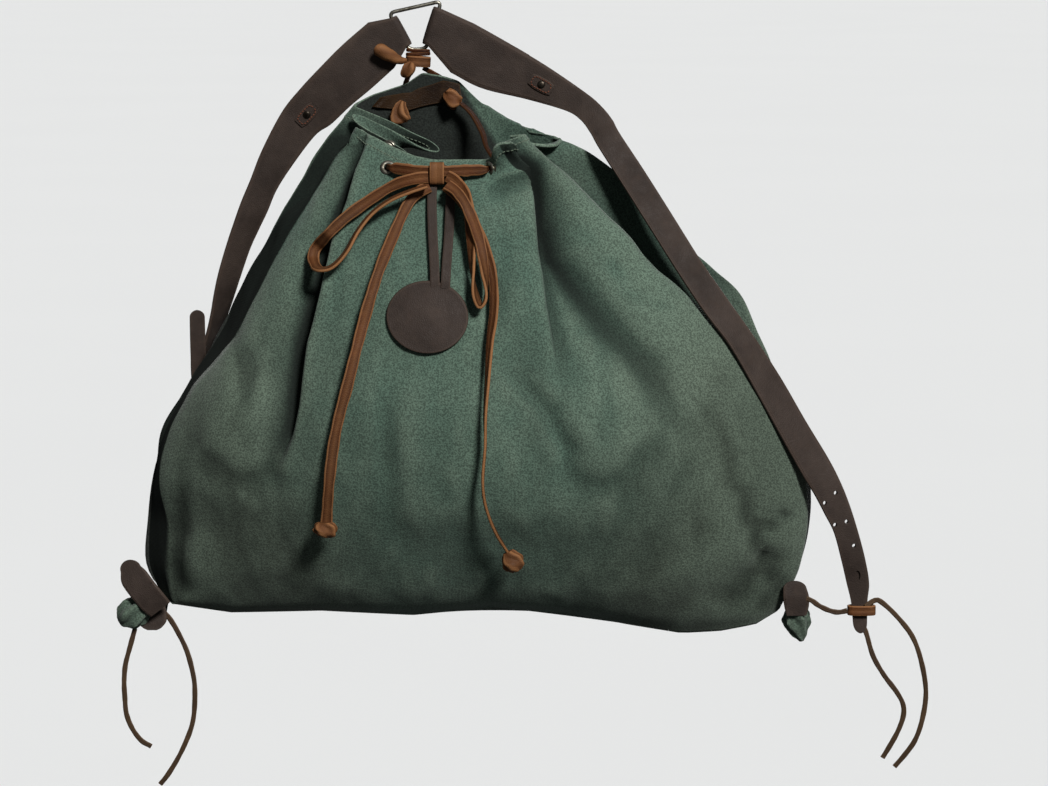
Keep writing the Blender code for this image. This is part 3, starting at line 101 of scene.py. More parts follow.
# A row for each level of the sack, from just under the mouth to the seam at the bottom. The
# front panel spans front_left to front_right, the back panel back_left to back_right, and the
# cloth between them at each side is tucked inwards by tuck_left and tuck_right.
Level = namedtuple(
    "Level",
    "z_left z_right z_front z_back front_left front_right back_left back_right "
    "front_y front_edge_y back_edge_y back_y tuck_left tuck_right",
)
LEVELS = [Level(*row) for row in (
    (-115, -117, -149, -97, -63, 105, -80, 141, -74, -34, -12, 6, 62, 36),
    (-140, -148, -177, -131, -77, 134, -95, 187, -88, -38, -10, 12, 50, 36),
    (-168, -181, -202, -170, -94, 165, -113, 214, -100, -42, -8, 17, 40, 36),
    (-201, -210, -228, -208, -114, 191, -131, 244, -110, -46, -6, 21, 32, 34),
    (-238, -238, -254, -247, -132, 231, -151, 274, -118, -50, -6, 24, 24, 28),
    (-276, -271, -281, -286, -154, 269, -170, 288, -124, -54, -10, 26, 14, 14),
    (-314, -313, -312, -325, -186, 300, -192, 307, -130, -54, -22, 26, 2, 2),
    (-351, -351, -345, -363, -205, 318, -210, 321, -132, -54, -26, 25, -3, -3),
    (-389, -389, -379, -402, -213, 327, -221, 330, -128, -54, -24, 22, 3, -3),
    (-428, -428, -417, -440, -207, 329, -227, 331, -114, -50, -20, 16, 9, -2),
    (-465, -465, -458, -474, -210, 322, -229, 325, -90, -44, -18, 6, 7, 0),
    (-492, -492, -490, -498, -207, 311, -216, 315, -60, -36, -20, -6, 3, 0),
    (-501, -501, -504, -505, -203, 305, -206, 308, -35, -31, -26, -24, 0, 0),
)]

# The lower edge, from left to right: how far it hangs below the last level at each place.
LOWER_EDGE = (
    (-230, -4), (-206, -2), (-156, 4), (-80, 1), (-2, 4), (65, -3), (136, 4), (180, 13), (224, 21),
    (257, 20), (287, 15), (311, 1), (335, -4),
)
SAG_FROM_LEVEL = 9.0

# Folds of the canvas, a table for each and a row for each place down it: x, z, how deep it is
# there, less than nothing for a ridge, how far it reaches to its left and right, how far the
# cloth on its right laps over it, or the cloth on its left where lap is negative, and how dark
# the shade painted in it is.
DEEP_FOLD = (
    (-40, -101, 10, 14, 3.5, 5, 0.5), (-53, -153, 15, 18, 3, 6, 0.9), (-66, -186, 18, 20, 3, 6, 1),
    (-74, -227, 20, 22, 3, 6, 1), (-85, -268, 19, 22, 3.5, 6, 1), (-94, -318, 15, 20, 4, 4, 1),
    (-102, -343, 11, 18, 5, 2, 0.8), (-114, -372, 3, 14, 7, 0, 0.3),
)
FLAP_EDGE = (
    (82, -108, 4, 3, 8, -2, 0.6), (88, -118, 8, 3, 9, -3, 0.9), (92, -125, 12, 3, 10, -3, 1),
    (98, -139, 14, 3, 11, -4, 1), (99, -152, 15, 3, 11, -4, 0.9), (101, -172, 15, 3, 12, -4, 0.9),
    (104, -193, 14, 3.5, 13, -4, 0.8), (108, -213, 12, 4, 14, -4, 0.6),
    (111, -234, 10, 4, 14, -3, 0.5), (115, -254, 8, 4, 14, -2.5, 0.45),
    (119, -275, 5, 5, 14, -2, 0.35), (124, -305, 1, 9, 14, 0, 0.05),
)
VALLEY = (
    (104, -140, 2, 8, 12, 0, 0.4), (108, -153, 7, 9, 14, 0, 0.7), (112, -173, 12, 11, 16, 0, 1),
    (118, -194, 16, 14, 18, 0, 1), (132, -214, 18, 18, 19, 0, 0.95),
    (149, -235, 17, 24, 22, 0, 0.85), (165, -256, 15, 26, 22, 0, 0.75),
    (185, -277, 11, 26, 20, 0, 0.65), (197, -297, 7, 20, 18, 0, 0.5),
    (210, -325, 2, 14, 14, 0, 0.1),
)
SHOULDER = (
    (96, -113, -4, 9, 12, 0, 0), (121, -142, -8, 12, 12, 0, 0), (146, -171, -11, 14, 12, 0, 0),
    (170, -196, -12, 16, 12, 0, 0), (200, -225, -9, 18, 14, 0, 0), (229, -242, -3, 18, 16, 0, 0),
)
FLAP = (
    (86, -126, -3, 12, 7, 0, 0), (90, -150, -6, 14, 8, 0, 0), (92, -175, -7, 16, 8, 0, 0),
    (94, -200, -6, 18, 9, 0, 0), (97, -226, -4, 18, 10, 0, 0), (102, -250, -1, 18, 10, 0, 0),
)
RIGHT_DENT = (
    (76, -285, 1, 9, 12, 0, 0), (108, -318, 5, 9, 13, 0, 0.12), (125, -350, 7, 9, 13, 0, 0.2),
    (131, -394, 1, 9, 13, 0, 0),
)
MIDDLE_DENT = (
    (-20, -300, 1, 11, 12, 0, 0), (-22, -360, 5, 11, 13, 0, 0.2), (-22, -405, 1, 11, 12, 0, 0.1),
)
TAG_DENT = (
    (74, -196, 1, 6, 12, 0, 0), (66, -232, 5, 6, 12, 0, 0.25), (70, -262, 1, 6, 12, 0, 0),
)
LEFT_DENT = (
    (-150, -250, 0, 10, 12, 0, 0), (-140, -290, 4, 10, 14, 0, 0.2), (-128, -330, 1, 10, 12, 0, 0),
)
CORNER_FOLD = (
    (262, -372, 1, 6, 7, 0, 0), (279, -416, 7, 6, 7, 1, 0.4), (302, -476, 6, 7, 9, 0, 0.5),
    (310, -494, 2, 6, 7, 0, 0.3),
)
SIDE_FOLD = (
    (-192, -384, 1, 8, 8, 0, 0.3), (-198, -436, 6, 8, 8, 0, 0.6), (-207, -490, 2, 8, 8, 0, 0.4),
)
FRONT_FOLDS = (DEEP_FOLD, FLAP_EDGE, VALLEY, SHOULDER, FLAP, RIGHT_DENT, MIDDLE_DENT, TAG_DENT,
               LEFT_DENT, CORNER_FOLD, SIDE_FOLD)
BACK_FOLDS = (
    ((-20, -78, 3, 12, 14, 3, 0.2), (-64, -200, 11, 12, 14, 3, 0.4), (-110, -340, 1, 12, 14, 0, 0)),
    ((40, -76, 3, 14, 12, -3, 0.2), (88, -200, 11, 14, 12, -3, 0.4), (150, -340, 1, 14, 12, 0, 0)),
    ((8, -90, 1, 16, 16, 0, 0), (14, -220, 7, 16, 16, 0, 0.2), (10, -380, 1, 16, 16, 0, 0)),
    ((110, -115, 2, 14, 14, -2, 0), (170, -220, 8, 14, 14, -2, 0.3), (232, -330, 1, 14, 14, 0, 0)),
    ((250, -400, 1, 10, 10, 0, 0), (270, -440, 5, 10, 10, 0, 0.2), (300, -488, 2, 10, 10, 0, 0)),
    ((-160, -400, 1, 10, 10, 0, 0), (-180, -440, 5, 10, 10, 0, 0.2), (-200, -488, 2, 10, 10, 0, 0)),
)

# Short creases of the front panel between two places: how deep, their reach above and below, and
# how dark the shade painted in them is.
CREASES = (
    (60, -146, 99, -136, 5, 4, 8, 0.5), (286, -455, 307, -457, 4, 7, 7, 0.35),
    (290, -432, 318, -408, 4, 7, 8, 0.35), (292, -508, 296, -484, 3, 8, 8, 0.4),
    (272, -464, 290, -474, 3, 8, 8, 0.25), (-172, -360, -138, -390, 3, 10, 15, 0.16),
    (-142, -390, -110, -366, 3, 10, 15, 0.16), (112, -368, 160, -392, 3, 12, 16, 0.14),
    (154, -392, 206, -342, 3.5, 12, 18, 0.16), (-207, -452, -192, -490, 3, 9, 9, 0.8),
    (-44, -318, -24, -440, 3, 22, 18, 0.26), (12, -318, 18, -400, 2, 18, 18, 0.14),
    (86, -246, 114, -380, 3, 17, 17, 0.26), (190, -272, 224, -350, 2, 22, 24, 0.12),
    (272, -290, 300, -420, 1, 34, 30, 0.28), (296, -462, 262, -502, 3, 20, 20, 0.42),
)

# Soft swellings and dents of the front panel: centre, half sizes and height, minus for a dent.
FRONT_SWELLINGS = (
    (-141, -335, 38, 54, 8), (166, -335, 50, 52, 9), (30, -330, 60, 90, 5),
    (60, -445, 120, 30, -4), (82, -131, 15, 9, 5), (60, -172, 30, 16, 3),
)

# Straps, a row for each station: x and z of the outer edge and of the inner edge, then the depth
# in Y of each.
LEFT_STRAP = (
    (-39, -11, -17, -49, -2.4, -2.4), (-61, -30, -36, -66, -2.6, -2.6),
    (-79, -48, -54, -81, -2.4, -2.4), (-96, -66, -70, -96, -1, -1), (-112, -86, -84, -106, 2, 2),
    (-129, -118, -104, -132, 4, 4), (-139, -143, -117, -152, 4, 6), (-147, -162, -125, -170, 3, 9),
    (-153, -179, -133, -186, 2, 13), (-159, -197, -141, -203, 1, 16),
    (-166, -221, -149, -225, 0, 18), (-170, -239, -155, -242, 1, 20),
    (-173, -256, -161, -258, 3, 24), (-177, -273, -168, -274, 6, 29),
    (-183, -292, -173, -294, 9, 32), (-188, -314, -172, -318, 15, 33),
    (-190, -345, -168, -348, 24, 33), (-196, -390, -171, -392, 29, 30),
    (-203, -430, -178, -430, 22, 24), (-209, -465, -184, -463, 10, 14),
    (-218, -490, -194, -484, -3, 2), (-230, -505, -209, -496, -11, -7),
    (-234, -514, -213, -511, -17, -14),
)
RIGHT_STRAP = (
    (50, -12, 30, -53, -2, -2), (75, -26, 56, -66, -2, -2), (109, -46, 94, -75, -4, -4),
    (143, -69, 126, -84, -9, -9), (156, -80, 138, -91, -14, -14), (165, -91, 146, -101, -19, -20),
    (171, -102, 153, -113, -23, -27), (191, -132, 173, -144, -30, -36),
    (214, -168, 196, -180, -38, -46), (238, -206, 219, -216, -46, -55),
    (259, -236, 240, -247, -52, -62), (281, -267, 262, -276, -56, -67),
    (304, -302, 284, -314, -58, -70), (325, -338, 304, -350, -59, -70),
    (344, -369, 322, -382, -59, -68), (354, -388, 333, -400, -58, -65),
    (362, -407, 342, -417, -56, -62), (370, -431, 350, -433, -54, -58),
    (377, -456, 357, -458, -50, -50), (381, -477, 362, -478, -48, -48),
    (380, -493, 366, -494, -46, -46), (380, -512, 368, -512, -46, -46),
)

# Holes along the free end of the right strap, and its slot: x, z.
STRAP_HOLES = (
    (351, -399), (340, -406), (360, -422), (350, -427), (367, -444),
)
STRAP_HOLE = 3.4
STRAP_SLOT = (2.25, 4.5)  # half its width and length
STRAP_SLOT_AT = (371, -470)

# The ring: corners of its wire's centre line, clockwise from the upper left.
RING_CORNERS = ((-21.6, -3.2), (22.4, 6.6), (9.8, -33.0), (-5.0, -33.8))
RING_CORNER_RADIUS = 5.6

# The tan lace that ties the back of the mouth to the ring: x, y, z.
HANG_STRAND_LEFT = (
    (-1.5, 0.5, -48.4), (-3.5, 3.5, -52), (-6, 8, -57), (-8.5, 11.5, -64), (-10, 11.5, -71),
    (-10.8, 8.5, -76.5), (-11.2, 3.5, -78.5), (-11.5, -1.5, -79),
)
HANG_STRAND_RIGHT = (
    (7.5, 0.5, -49), (12, 4, -52), (18, 8.5, -55.5), (23.5, 12, -60), (26.5, 12, -66),
    (28, 9, -71), (29, 4, -73), (30, -1.5, -73.5),
)
HANG_CORD = 4.4
DRAW_RUN_WIDTH = 4.4
HANG_HOLES = ((-11.2, 3, -78.5), (29, 3, -73))

# The drawstring inside the mouth, from the eyelet to its knot, after the eyelet's own place.
DRAW_RUN_RIGHT = (
    (70.5, -56, -127), (66, -49, -121), (60, -38, -112), (57, -27, -102), (51, -17.5, -91),
    (45, -12.5, -83.5), (37.9, -9.9, -77.6),
)
DRAW_RUN_LEFT = (
    (-19.6, -49, -130), (-20.2, -41, -125), (-21, -33, -114), (-21, -24, -112),
    (-19.5, -13.5, -107.5), (-18, -11.5, -102), (-14.8, -10.2, -94.4),
)

# Laces on the front, their points: x, z, how far the middle of the lace lies in front of
# the canvas or of what it crosses, and how far its flat side is turned, in degrees.
SPAN_LEFT = (
    (-17.5, -127.2, 4.8, 0), (-8, -128, 7.5, 0), (4, -129, 10.5, 0), (12, -129.3, 12.5, 0),
    (19.7, -129.5, 12.5, 0),
)
SPAN_RIGHT = (
    (20.3, -129.5, 12.5, 0), (28, -129.3, 12.5, 0), (38, -129, 10.5, 0), (48, -129, 7.5, 0),
    (60, -128.7, 4.5, 0),
)
BOW_LOOP_LEFT = (
    (13, -134, 15, 0), (2, -135, 14, 0), (-14, -140, 9.5, 0), (-34, -152, 7, 0), (-56, -168, 6, 0),
    (-74, -186, 6, 0), (-82, -198, 7, 0), (-78, -207, 9, 0), (-66, -206, 11, 0),
    (-54, -194, 12, 0), (-45, -178, 12, 0), (-33, -163, 13, 0), (-18, -152, 15, 0),
    (-2, -145, 17, 0), (12, -140.5, 17, 0),
)
BOW_LOOP_RIGHT = (
    (28.6, -133, 13.6, 0), (37, -138, 13.6, 0), (45, -150, 14, 0), (48, -175, 12.8, 0),
    (49.5, -205, 10.6, 40), (52, -226, 10.6, 90), (56.6, -236, 11.2, 90), (60.6, -226, 13, 90),
    (59, -205, 15.8, 40), (54.5, -180, 19.4, 0), (46, -158, 22.5, 0), (37, -145, 20.6, 0),
    (28.6, -139.4, 18.6, 0),
)
BOW_TAIL_LEFT = (
    (14, -141.5, 8, 0), (4, -147, 7.5, 0), (-5, -158, 5, 0), (-16, -182, 4, 0),
    (-27, -209, 3.5, 0), (-36, -238, 3.5, 0), (-44, -268, 3.5, 0), (-52, -300, 3.5, 0),
    (-58, -322, 3.5, 0), (-63, -346, 3.5, 0), (-67, -378, 3.5, 0), (-70, -412, 3.5, 0),
)
BOW_TAIL_RIGHT = (
    (27, -141.3, 8, 0), (38, -151, 7.5, 0), (50, -168, 5, 0), (60, -190, 4, 0), (66, -212, 4, 0),
    (67, -238, 4, 10), (64, -262, 4, 25), (62, -290, 4.5, 45), (60, -320, 5, 60),
    (60, -346, 5, 70), (58, -374, 5, 70), (60, -396, 5, 60), (68, -420, 5, 60), (77, -438, 5, 50),
)

# Laces that hang free at the lower corners: x, y, z.
CORNER_LACE_LEFT_1 = (
    (-237.5, -33, -519.8), (-242, -34, -536), (-246, -34, -551), (-247.3, -34, -566),
    (-247, -33, -579), (-246, -33, -593), (-241.5, -32, -606), (-234, -31, -617),
    (-225.5, -30, -622.5),
)
CORNER_LACE_LEFT_2 = (
    (-217.6, -29.3, -501.3), (-213.8, -30.4, -505.6), (-208.6, -31.5, -511), (-202, -32, -522),
    (-194, -33, -539), (-189, -34, -558), (-187.5, -34, -572), (-188.5, -33, -593),
    (-192, -33, -608.5), (-201, -32, -629), (-211, -31, -646), (-218.3, -30, -655.5),
)
CORNER_LINK = (
    (321, -43.5, -489), (332.9, -46.3, -493), (338.5, -48, -496.8), (347, -49.5, -500.7),
    (355, -50, -502.4), (362.8, -50, -501),
)
CORNER_LACE_RIGHT_1 = (
    (378, -49.8, -497.6), (385.5, -47, -493), (391, -48, -493.6), (404, -48, -505.5),
    (418, -47, -523.5), (426, -46, -545), (430.5, -45, -571), (428.3, -44, -594),
    (422.7, -43, -613), (414.5, -42, -626), (405.3, -41, -637.5),
)
CORNER_LACE_RIGHT_2 = (
    (374.5, -42.4, -507), (376, -42, -514), (379.8, -43, -522), (385.5, -44, -541),
    (395, -45, -557.5), (405.4, -45, -571.3), (411.4, -44, -582.5), (412, -43, -593),
    (407.6, -42, -606.7), (401, -41, -619.7), (395.2, -40, -630),
)

# Gathered corners of the sack, and other lumps: middle line and radius.
EAR_LEFT = (
    (-213.1, -22.6, -493.3, 2.8), (-220, -29, -496, 4.8), (-224.5, -31.5, -498.5, 6.8),
    (-230, -33, -502, 9.5), (-236, -34, -505, 12.5), (-243, -34, -508, 12.5), (-249, -34, -511, 8),
    (-251.5, -34, -512, 3),
)
EAR_RIGHT = (
    (313.3, -28.6, -495, 4), (319, -30.5, -500, 7), (321, -33, -507, 11), (322, -34, -514, 11.5),
    (323.5, -35, -521, 8.5), (325, -36, -526, 5), (326, -36, -530, 1.8),
)

# Leather tabs round the corners, stations as on a strap.
TAB_LEFT = (
    (-248, -470, -231, -464, -40, -43), (-247, -479, -226, -468, -43, -45.5),
    (-240, -489.5, -219, -477, -44.5, -47.8), (-230, -501.5, -211, -487, -44.6, -48.4),
    (-223, -507.5, -206, -494, -43.6, -46.9),
)
TAB_RIGHT = (
    (309, -484, 329, -483, -46, -44), (309, -490, 331, -490, -47, -45),
    (310, -498, 331, -498, -46.2, -45.2), (312, -506, 329, -506, -45.7, -45.1),
)
TONGUE_LEFT = (
    (-191, -259, -178.5, -259, 0, 4), (-191, -275, -178.5, -275, 1, 6),
    (-191, -292, -178.5, -292, 4, 10), (-191, -312, -178.5, -313, 9, 18),
    (-189, -335, -177, -336, 18, 25), (-188, -352, -176, -353, 22.3, 27.4),
    (-188, -368, -176, -369, 25, 28),
)

# Tag: its doubled strap, points like those of the laces on the front, then the disc.
TAG_STRAP_WIDTH = 8.0
TAG_STRAP = (
    (19, -222, 2.2, 0), (18.5, -205, 2, 0), (17, -180, 2, 0), (16, -155, 1.9, 0),
    (16.5, -139, 1.8, 0), (18.5, -131, 1.8, 0), (23, -127.5, 1.8, 0), (28, -131, 1.8, 0),
    (31, -139, 1.8, 0), (31, -155, 1.9, 0), (30, -180, 2, 0), (28.3, -205, 2, 0),
    (27.4, -222, 2.2, 0),
)
TAG_AT = (12.8, -244.6)
TAG_SIZE = (67.0, 57.5)
TAG_OFF = 2.4

# Small trim, and the rows of middle line and radius of the hanging lace's rolled end
PATCH_THICK = 1.4
PATCH_SIZE = (21.0, 12.0)
PATCH_LEFT_AT = (-94.6, -84.0)
PATCH_RIGHT_AT = (106.0, -60.5)
RIVET_SIZE = 6.5
FOLDED_STATIONS = 30
HANG_KNOB = (
    (-30.5, -10.5, -31.5, 5), (-29, -11, -32.5, 6.5), (-22, -11.5, -36.5, 6.5),
    (-15.5, -11, -40.3, 5.2), (-11.5, -8.7, -41.8, 4), (-7.8, -5.5, -42.6, 2.8),
)
HANG_KNOT_LEFT = (-12.5, -10.0, -85)
HANG_KNOT_RIGHT = (31.5, -8.5, -74)

# Eyelets: name, x, z, how many layers of canvas lie before it, and the way that it faces, turned
# from the front in degrees, where the canvas doesn't say it.
EYELETS = (
    ("front_left", -20.8, -127.6, 0, None), ("front_right", 62.5, -128.6, 0, 50),
    ("tuck_front", -21, -113.3, 1, None), ("tuck_back", -21, -112.5, 2, None),
)

# The hem: how far round its corners are rounded, and how far down it reaches, counted in levels.
# DROP_ROWS are the heights of the rows of the sack's cloth, counted the same way.
HEM_ROUND = 0.004
HEM_REACH = 0.27
DROP_ROWS = np.concatenate([np.linspace(0, 1, 24, endpoint=False), np.linspace(1, 13, 106)])

# More gathered leather, and the end of the left tab
HANG_FOLD = (
    (-1.5, -7.5, -45, 3), (-4, -8.5, -48.5, 5.2), (-7, -8.5, -52, 5), (-9.5, -7.5, -54.5, 3),
    (-10.5, -7, -55.5, 1.2),
)
TAB_END_LEFT = (
    (-240, -500, -212, -500, -31, -31), (-239, -508, -210.5, -508, -32, -32),
    (-236, -514, -211, -514, -33, -33), (-231, -519, -215, -519, -33.5, -33.5),
    (-227, -521, -219, -521, -34, -34),
)


# Lines and grids of points

def curve(rows, places):
    """Points on the smooth curve through the rows, at places counted in rows."""
    rows, places = np.array(rows, float), np.asarray(places, float)
    padded = np.vstack([2 * rows[0] - rows[1], rows, 2 * rows[-1] - rows[-2]])
    start = np.minimum(places.astype(int), len(rows) - 2)
    t = (places - start)[:, None]
    before, now, after, far = (padded[start + k] for k in range(4))
    return 0.5 * (2 * now + (after - before) * t + (2 * before - 5 * now + 4 * after - far) * t * t
                  + (3 * now - before - 3 * after + far) * t ** 3)


def smooth_through(rows, steps):
    """A smooth curve through the rows, with steps of its points from each row to the next."""
    return curve(rows, np.arange((len(rows) - 1) * steps + 1) / steps)


def distances(points):
    """How far along the line each of its points is."""
    return np.concatenate([[0], np.cumsum(np.linalg.norm(np.diff(points, axis=0), axis=1))])


def evenly(points, step):
    """The same line with its points about one step apart."""
    along = distances(points[:, :3])
    places = np.linspace(0, along[-1], max(3, int(round(along[-1] / step)) + 1))
    return np.column_stack([np.interp(places, along, column) for column in points.T])


def unit(vectors):
    return vectors / np.maximum(np.linalg.norm(vectors, axis=-1, keepdims=True), 1e-9)


def circle(count):
    return np.arange(count) * math.tau / count


def between(start, end, share):
    return start + (end - start) * share


def looped_way(line):
    """The direction of a line that closes on itself, at each of its points."""
    return unit(np.roll(line, -1, axis=0) - np.roll(line, 1, axis=0))


def outward(grid):
    """Unit normals of a grid of rows and columns that closes on itself round the sack."""
    across = np.roll(grid, -1, axis=1) - np.roll(grid, 1, axis=1)
    return unit(np.cross(np.gradient(grid, axis=0), across))


def softened(grid):
    """The grid with its corners round the sack eased."""
    return grid / 2 + (np.roll(grid, 1, axis=1) + np.roll(grid, -1, axis=1)) / 4


def evened(grid, passes):
    """The grid smoothed round the sack and down it."""
    for _ in range(passes):
        grid = softened(grid)
        grid[1:-1] = grid[1:-1] / 2 + (grid[:-2] + grid[2:]) / 4
    return grid


def tube_faces(rings, sides, capped=True, looped=False):
    """Faces of a tube of rings of points, closed at both ends or on itself."""
    spots = np.arange(rings * sides).reshape(rings, sides)
    if looped:
        spots = np.vstack([spots, spots[:1]])
    right = np.roll(spots, -1, axis=1)
    faces = np.stack([spots[:-1], right[:-1], right[1:], spots[1:]], -1).reshape(-1, 4).tolist()
    if capped and not looped:
        faces += [spots[0, ::-1].tolist(), spots[-1].tolist()]
    return faces


def windowed(values, reach, pick):
    """Each value picked anew from itself and its neighbours, reach of them either way."""
    padded = np.pad(values, reach, mode="edge")
    return pick([padded[k:len(padded) - 2 * reach + k] for k in range(2 * reach + 1)], axis=0)


# The sack's surface

def panel_place(share):
    """The place across a panel, -1 to 1, of a share 0 to 1 of its cloth."""
    side = 2 * share - 1
    return 0.6 * side + 0.4 * np.sin(side * math.pi / 2)


def left_side(level, share):
    """The cloth at the left: a tuck high up, which closes behind the front panel lower down."""
    lean = share / 0.39 if share < 0.39 else (1 - share) / 0.61
    x = between(level.back_left, level.front_left, share)
    x += level.tuck_left * (1 - (1 - lean) ** 1.2)
    y = between(level.back_edge_y, level.front_edge_y, share)
    if share < 0.42:
        deep = 1 - abs(share / 0.21 - 1) ** 1.2
        closed = level.back_left + level.tuck_left * deep, level.back_edge_y - 14 * share
    else:
        on = (share - 0.42) / 0.58
        closed = (between(level.back_left + 1, level.front_left, on),
                  between(level.back_edge_y - 6, level.front_edge_y, on))
    blend = min(max((-level.z_left - 115) / 60, 0), 1)
    return between(x, closed[0], blend), between(y, closed[1], blend), level.z_left


def level_point(level, around):
    """One point of a level of the sack, before its folds."""
    if around < FRONT_END:
        side = panel_place(around / FRONT_END)
        left, right = level.front_left, level.front_right
        edge, middle, z_middle = level.front_edge_y, level.front_y, level.z_front
    elif around < BACK_START:
        share = (around - FRONT_END) / (BACK_START - FRONT_END)
        x = between(level.front_right, level.back_right, share)
        depth = 1 - abs(2 * share - 1) ** 1.2
        return (x - level.tuck_right * depth,
                between(level.front_edge_y, level.back_edge_y, share), level.z_right)
    elif around < BACK_END:
        side = -panel_place((around - BACK_START) / (BACK_END - BACK_START))
        left, right = level.back_left, level.back_right
        edge, middle, z_middle = level.back_edge_y, level.back_y, level.z_back
    else:
        return left_side(level, (around - BACK_END) / (1 - BACK_END))
    share = (side + 1) / 2
    full = (1 - np.abs(side) ** 2.3) ** 0.75
    return (between(left, right, share), between(edge, middle, full),
            between(between(level.z_left, level.z_right, share), z_middle, 1 - side * side))


def hem_point(around):
    """The rim of the mouth, its corners rounded."""
    turns = np.array(HEM_TURNS, float).T
    spots = (around + np.linspace(-1, 1, 9) * HEM_ROUND) % 1.0
    return tuple(np.interp(spots, turns[0], turns[axis]).mean() for axis in (1, 2, 3))


def column_places():
    """The places round the sack where its columns stand, closer together at the deep folds."""
    shares = np.linspace(0, 1, 500)
    crowd = np.cumsum(1 + 2.6 * sum(np.exp(-((shares - share) / reach) ** 2)
                                    for share, reach in ((DEEP_SHARE, 0.05), (FLAP_SHARE, 0.06))))
    crowd -= crowd[0]
    front = np.interp(np.linspace(0, 1, FRONT_COLUMNS + 1), crowd / crowd[-1], shares)
    return np.concatenate([
        front[:-1] * FRONT_END,
        np.linspace(FRONT_END, BACK_START, RIGHT_COLUMNS, endpoint=False),
        BACK_START + (1 - front[:0:-1]) * (BACK_END - BACK_START),
        np.linspace(BACK_END, 1, LEFT_COLUMNS, endpoint=False),
    ])


def fold_shape(fold, x, z):
    """How far a fold pushes the canvas in, how far it carries it aside, and how dark the shade
    painted in it is.
    """
    rows = np.array(fold[::-1], float).T
    z_clamped = np.clip(z, rows[1, 0], rows[1, -1])
    line, depth, left, right, lap, dark = (
        np.interp(z_clamped, rows[1], rows[column]) for column in (0, 2, 3, 4, 5, 6))
    fade = np.exp(-((z - z_clamped) / 18) ** 2)
    away = x - line
    beside = away * np.sign(lap) / np.minimum(left, right)
    reach = np.where(away > 0, right, left)
    lip = np.exp(-((beside - 2.2) / 1.3) ** 2) * np.abs(lap) / 3
    return (depth * np.exp(-(away / reach) ** 2) * fade - lip * fade,
            -lap * np.exp(-((beside - 1.4) / 1.2) ** 2),
            dark * np.exp(-(away / reach / 0.85) ** 2) * fade)


def crease_shape(crease, x, z):
    """How far a crease pushes the canvas in at each place, and how dark the shade painted in it is.
    """
    x_start, z_start, x_end, z_end, depth, above, below, dark = crease
    along_x, along_z = x_end - x_start, z_end - z_start
    length = math.hypot(along_x, along_z)
    share = ((x - x_start) * along_x + (z - z_start) * along_z) / length ** 2
    off = (along_x * (z - z_start) - along_z * (x - x_start)) / length
    width = np.where(off * along_x > 0, above, below)
    shape = np.exp(-(off / width) ** 2) * np.clip(1.15 - (2 * share - 1) ** 2, 0, 1)
    return depth * shape, dark * shape


def fold_column(places, share):
    """The column of the front that follows a deep fold."""
    return int(np.searchsorted(places[places < FRONT_END] / FRONT_END, share))


def aligned(points, places, row):
    """Slides the columns of the front along the cloth, so that two of them follow deep folds."""
    count = int(np.searchsorted(places, FRONT_END)) + 1
    x = points[:count, 0]
    knots, spots = [x[0]], [x[0]]
    for fold, share in ((DEEP_FOLD, DEEP_SHARE), (FLAP_EDGE, FLAP_SHARE)):
        at = fold_column(places, share)
        rows = np.array(fold[::-1], float).T
        line = np.interp(points[at, 2], rows[1], rows[0])
        knots.append(x[at])
        spots.append(between(x[at], line, min(1.0, row - 1)))
    target = np.interp(x, knots + [x[-1]], spots + [x[-1]])
    points[:count] = np.column_stack([np.interp(target, x, points[:count, k]) for k in range(3)])


def crumple(grid, size, tall, seed):
    """A smooth random value at each point of the grid, taller than wide."""
    found = [noise.noise(Vector((p[0] / size + seed, p[1] / size, p[2] / tall)))
             for p in grid.reshape(-1, 3)]
    return np.array(found).reshape(grid.shape[:2])


def beside_fold(grid, places, fold, share, side, widths):
    """The painted shadow on the cloth that a deep fold's lip stands over, at each point of the
    front.
    """
    dark = np.zeros(grid.shape[:2])
    at = fold_column(places, share)
    table = np.array(fold[::-1], float).T
    for index, points in enumerate(grid):
        line = points[:, 0] * side
        lip = line[at:at + 16].max() if side < 0 else line[at - 16:at].max()
        under = slice(0, at + 2) if side < 0 else slice(at - 2, int((places < FRONT_END).sum()))
        height = points[at, 2]
        shaded = np.interp(height, table[1], table[6])
        shaded *= math.exp(-(max(0, table[1, 0] - height) / 12) ** 2)
        away = np.clip(line[under] - lip, 0, None)
        near = np.exp(-(away / np.interp(height, *widths)) ** 3)
        dark[index, under] = np.clip(1.2 * shaded * near, 0, 1)
    return dark


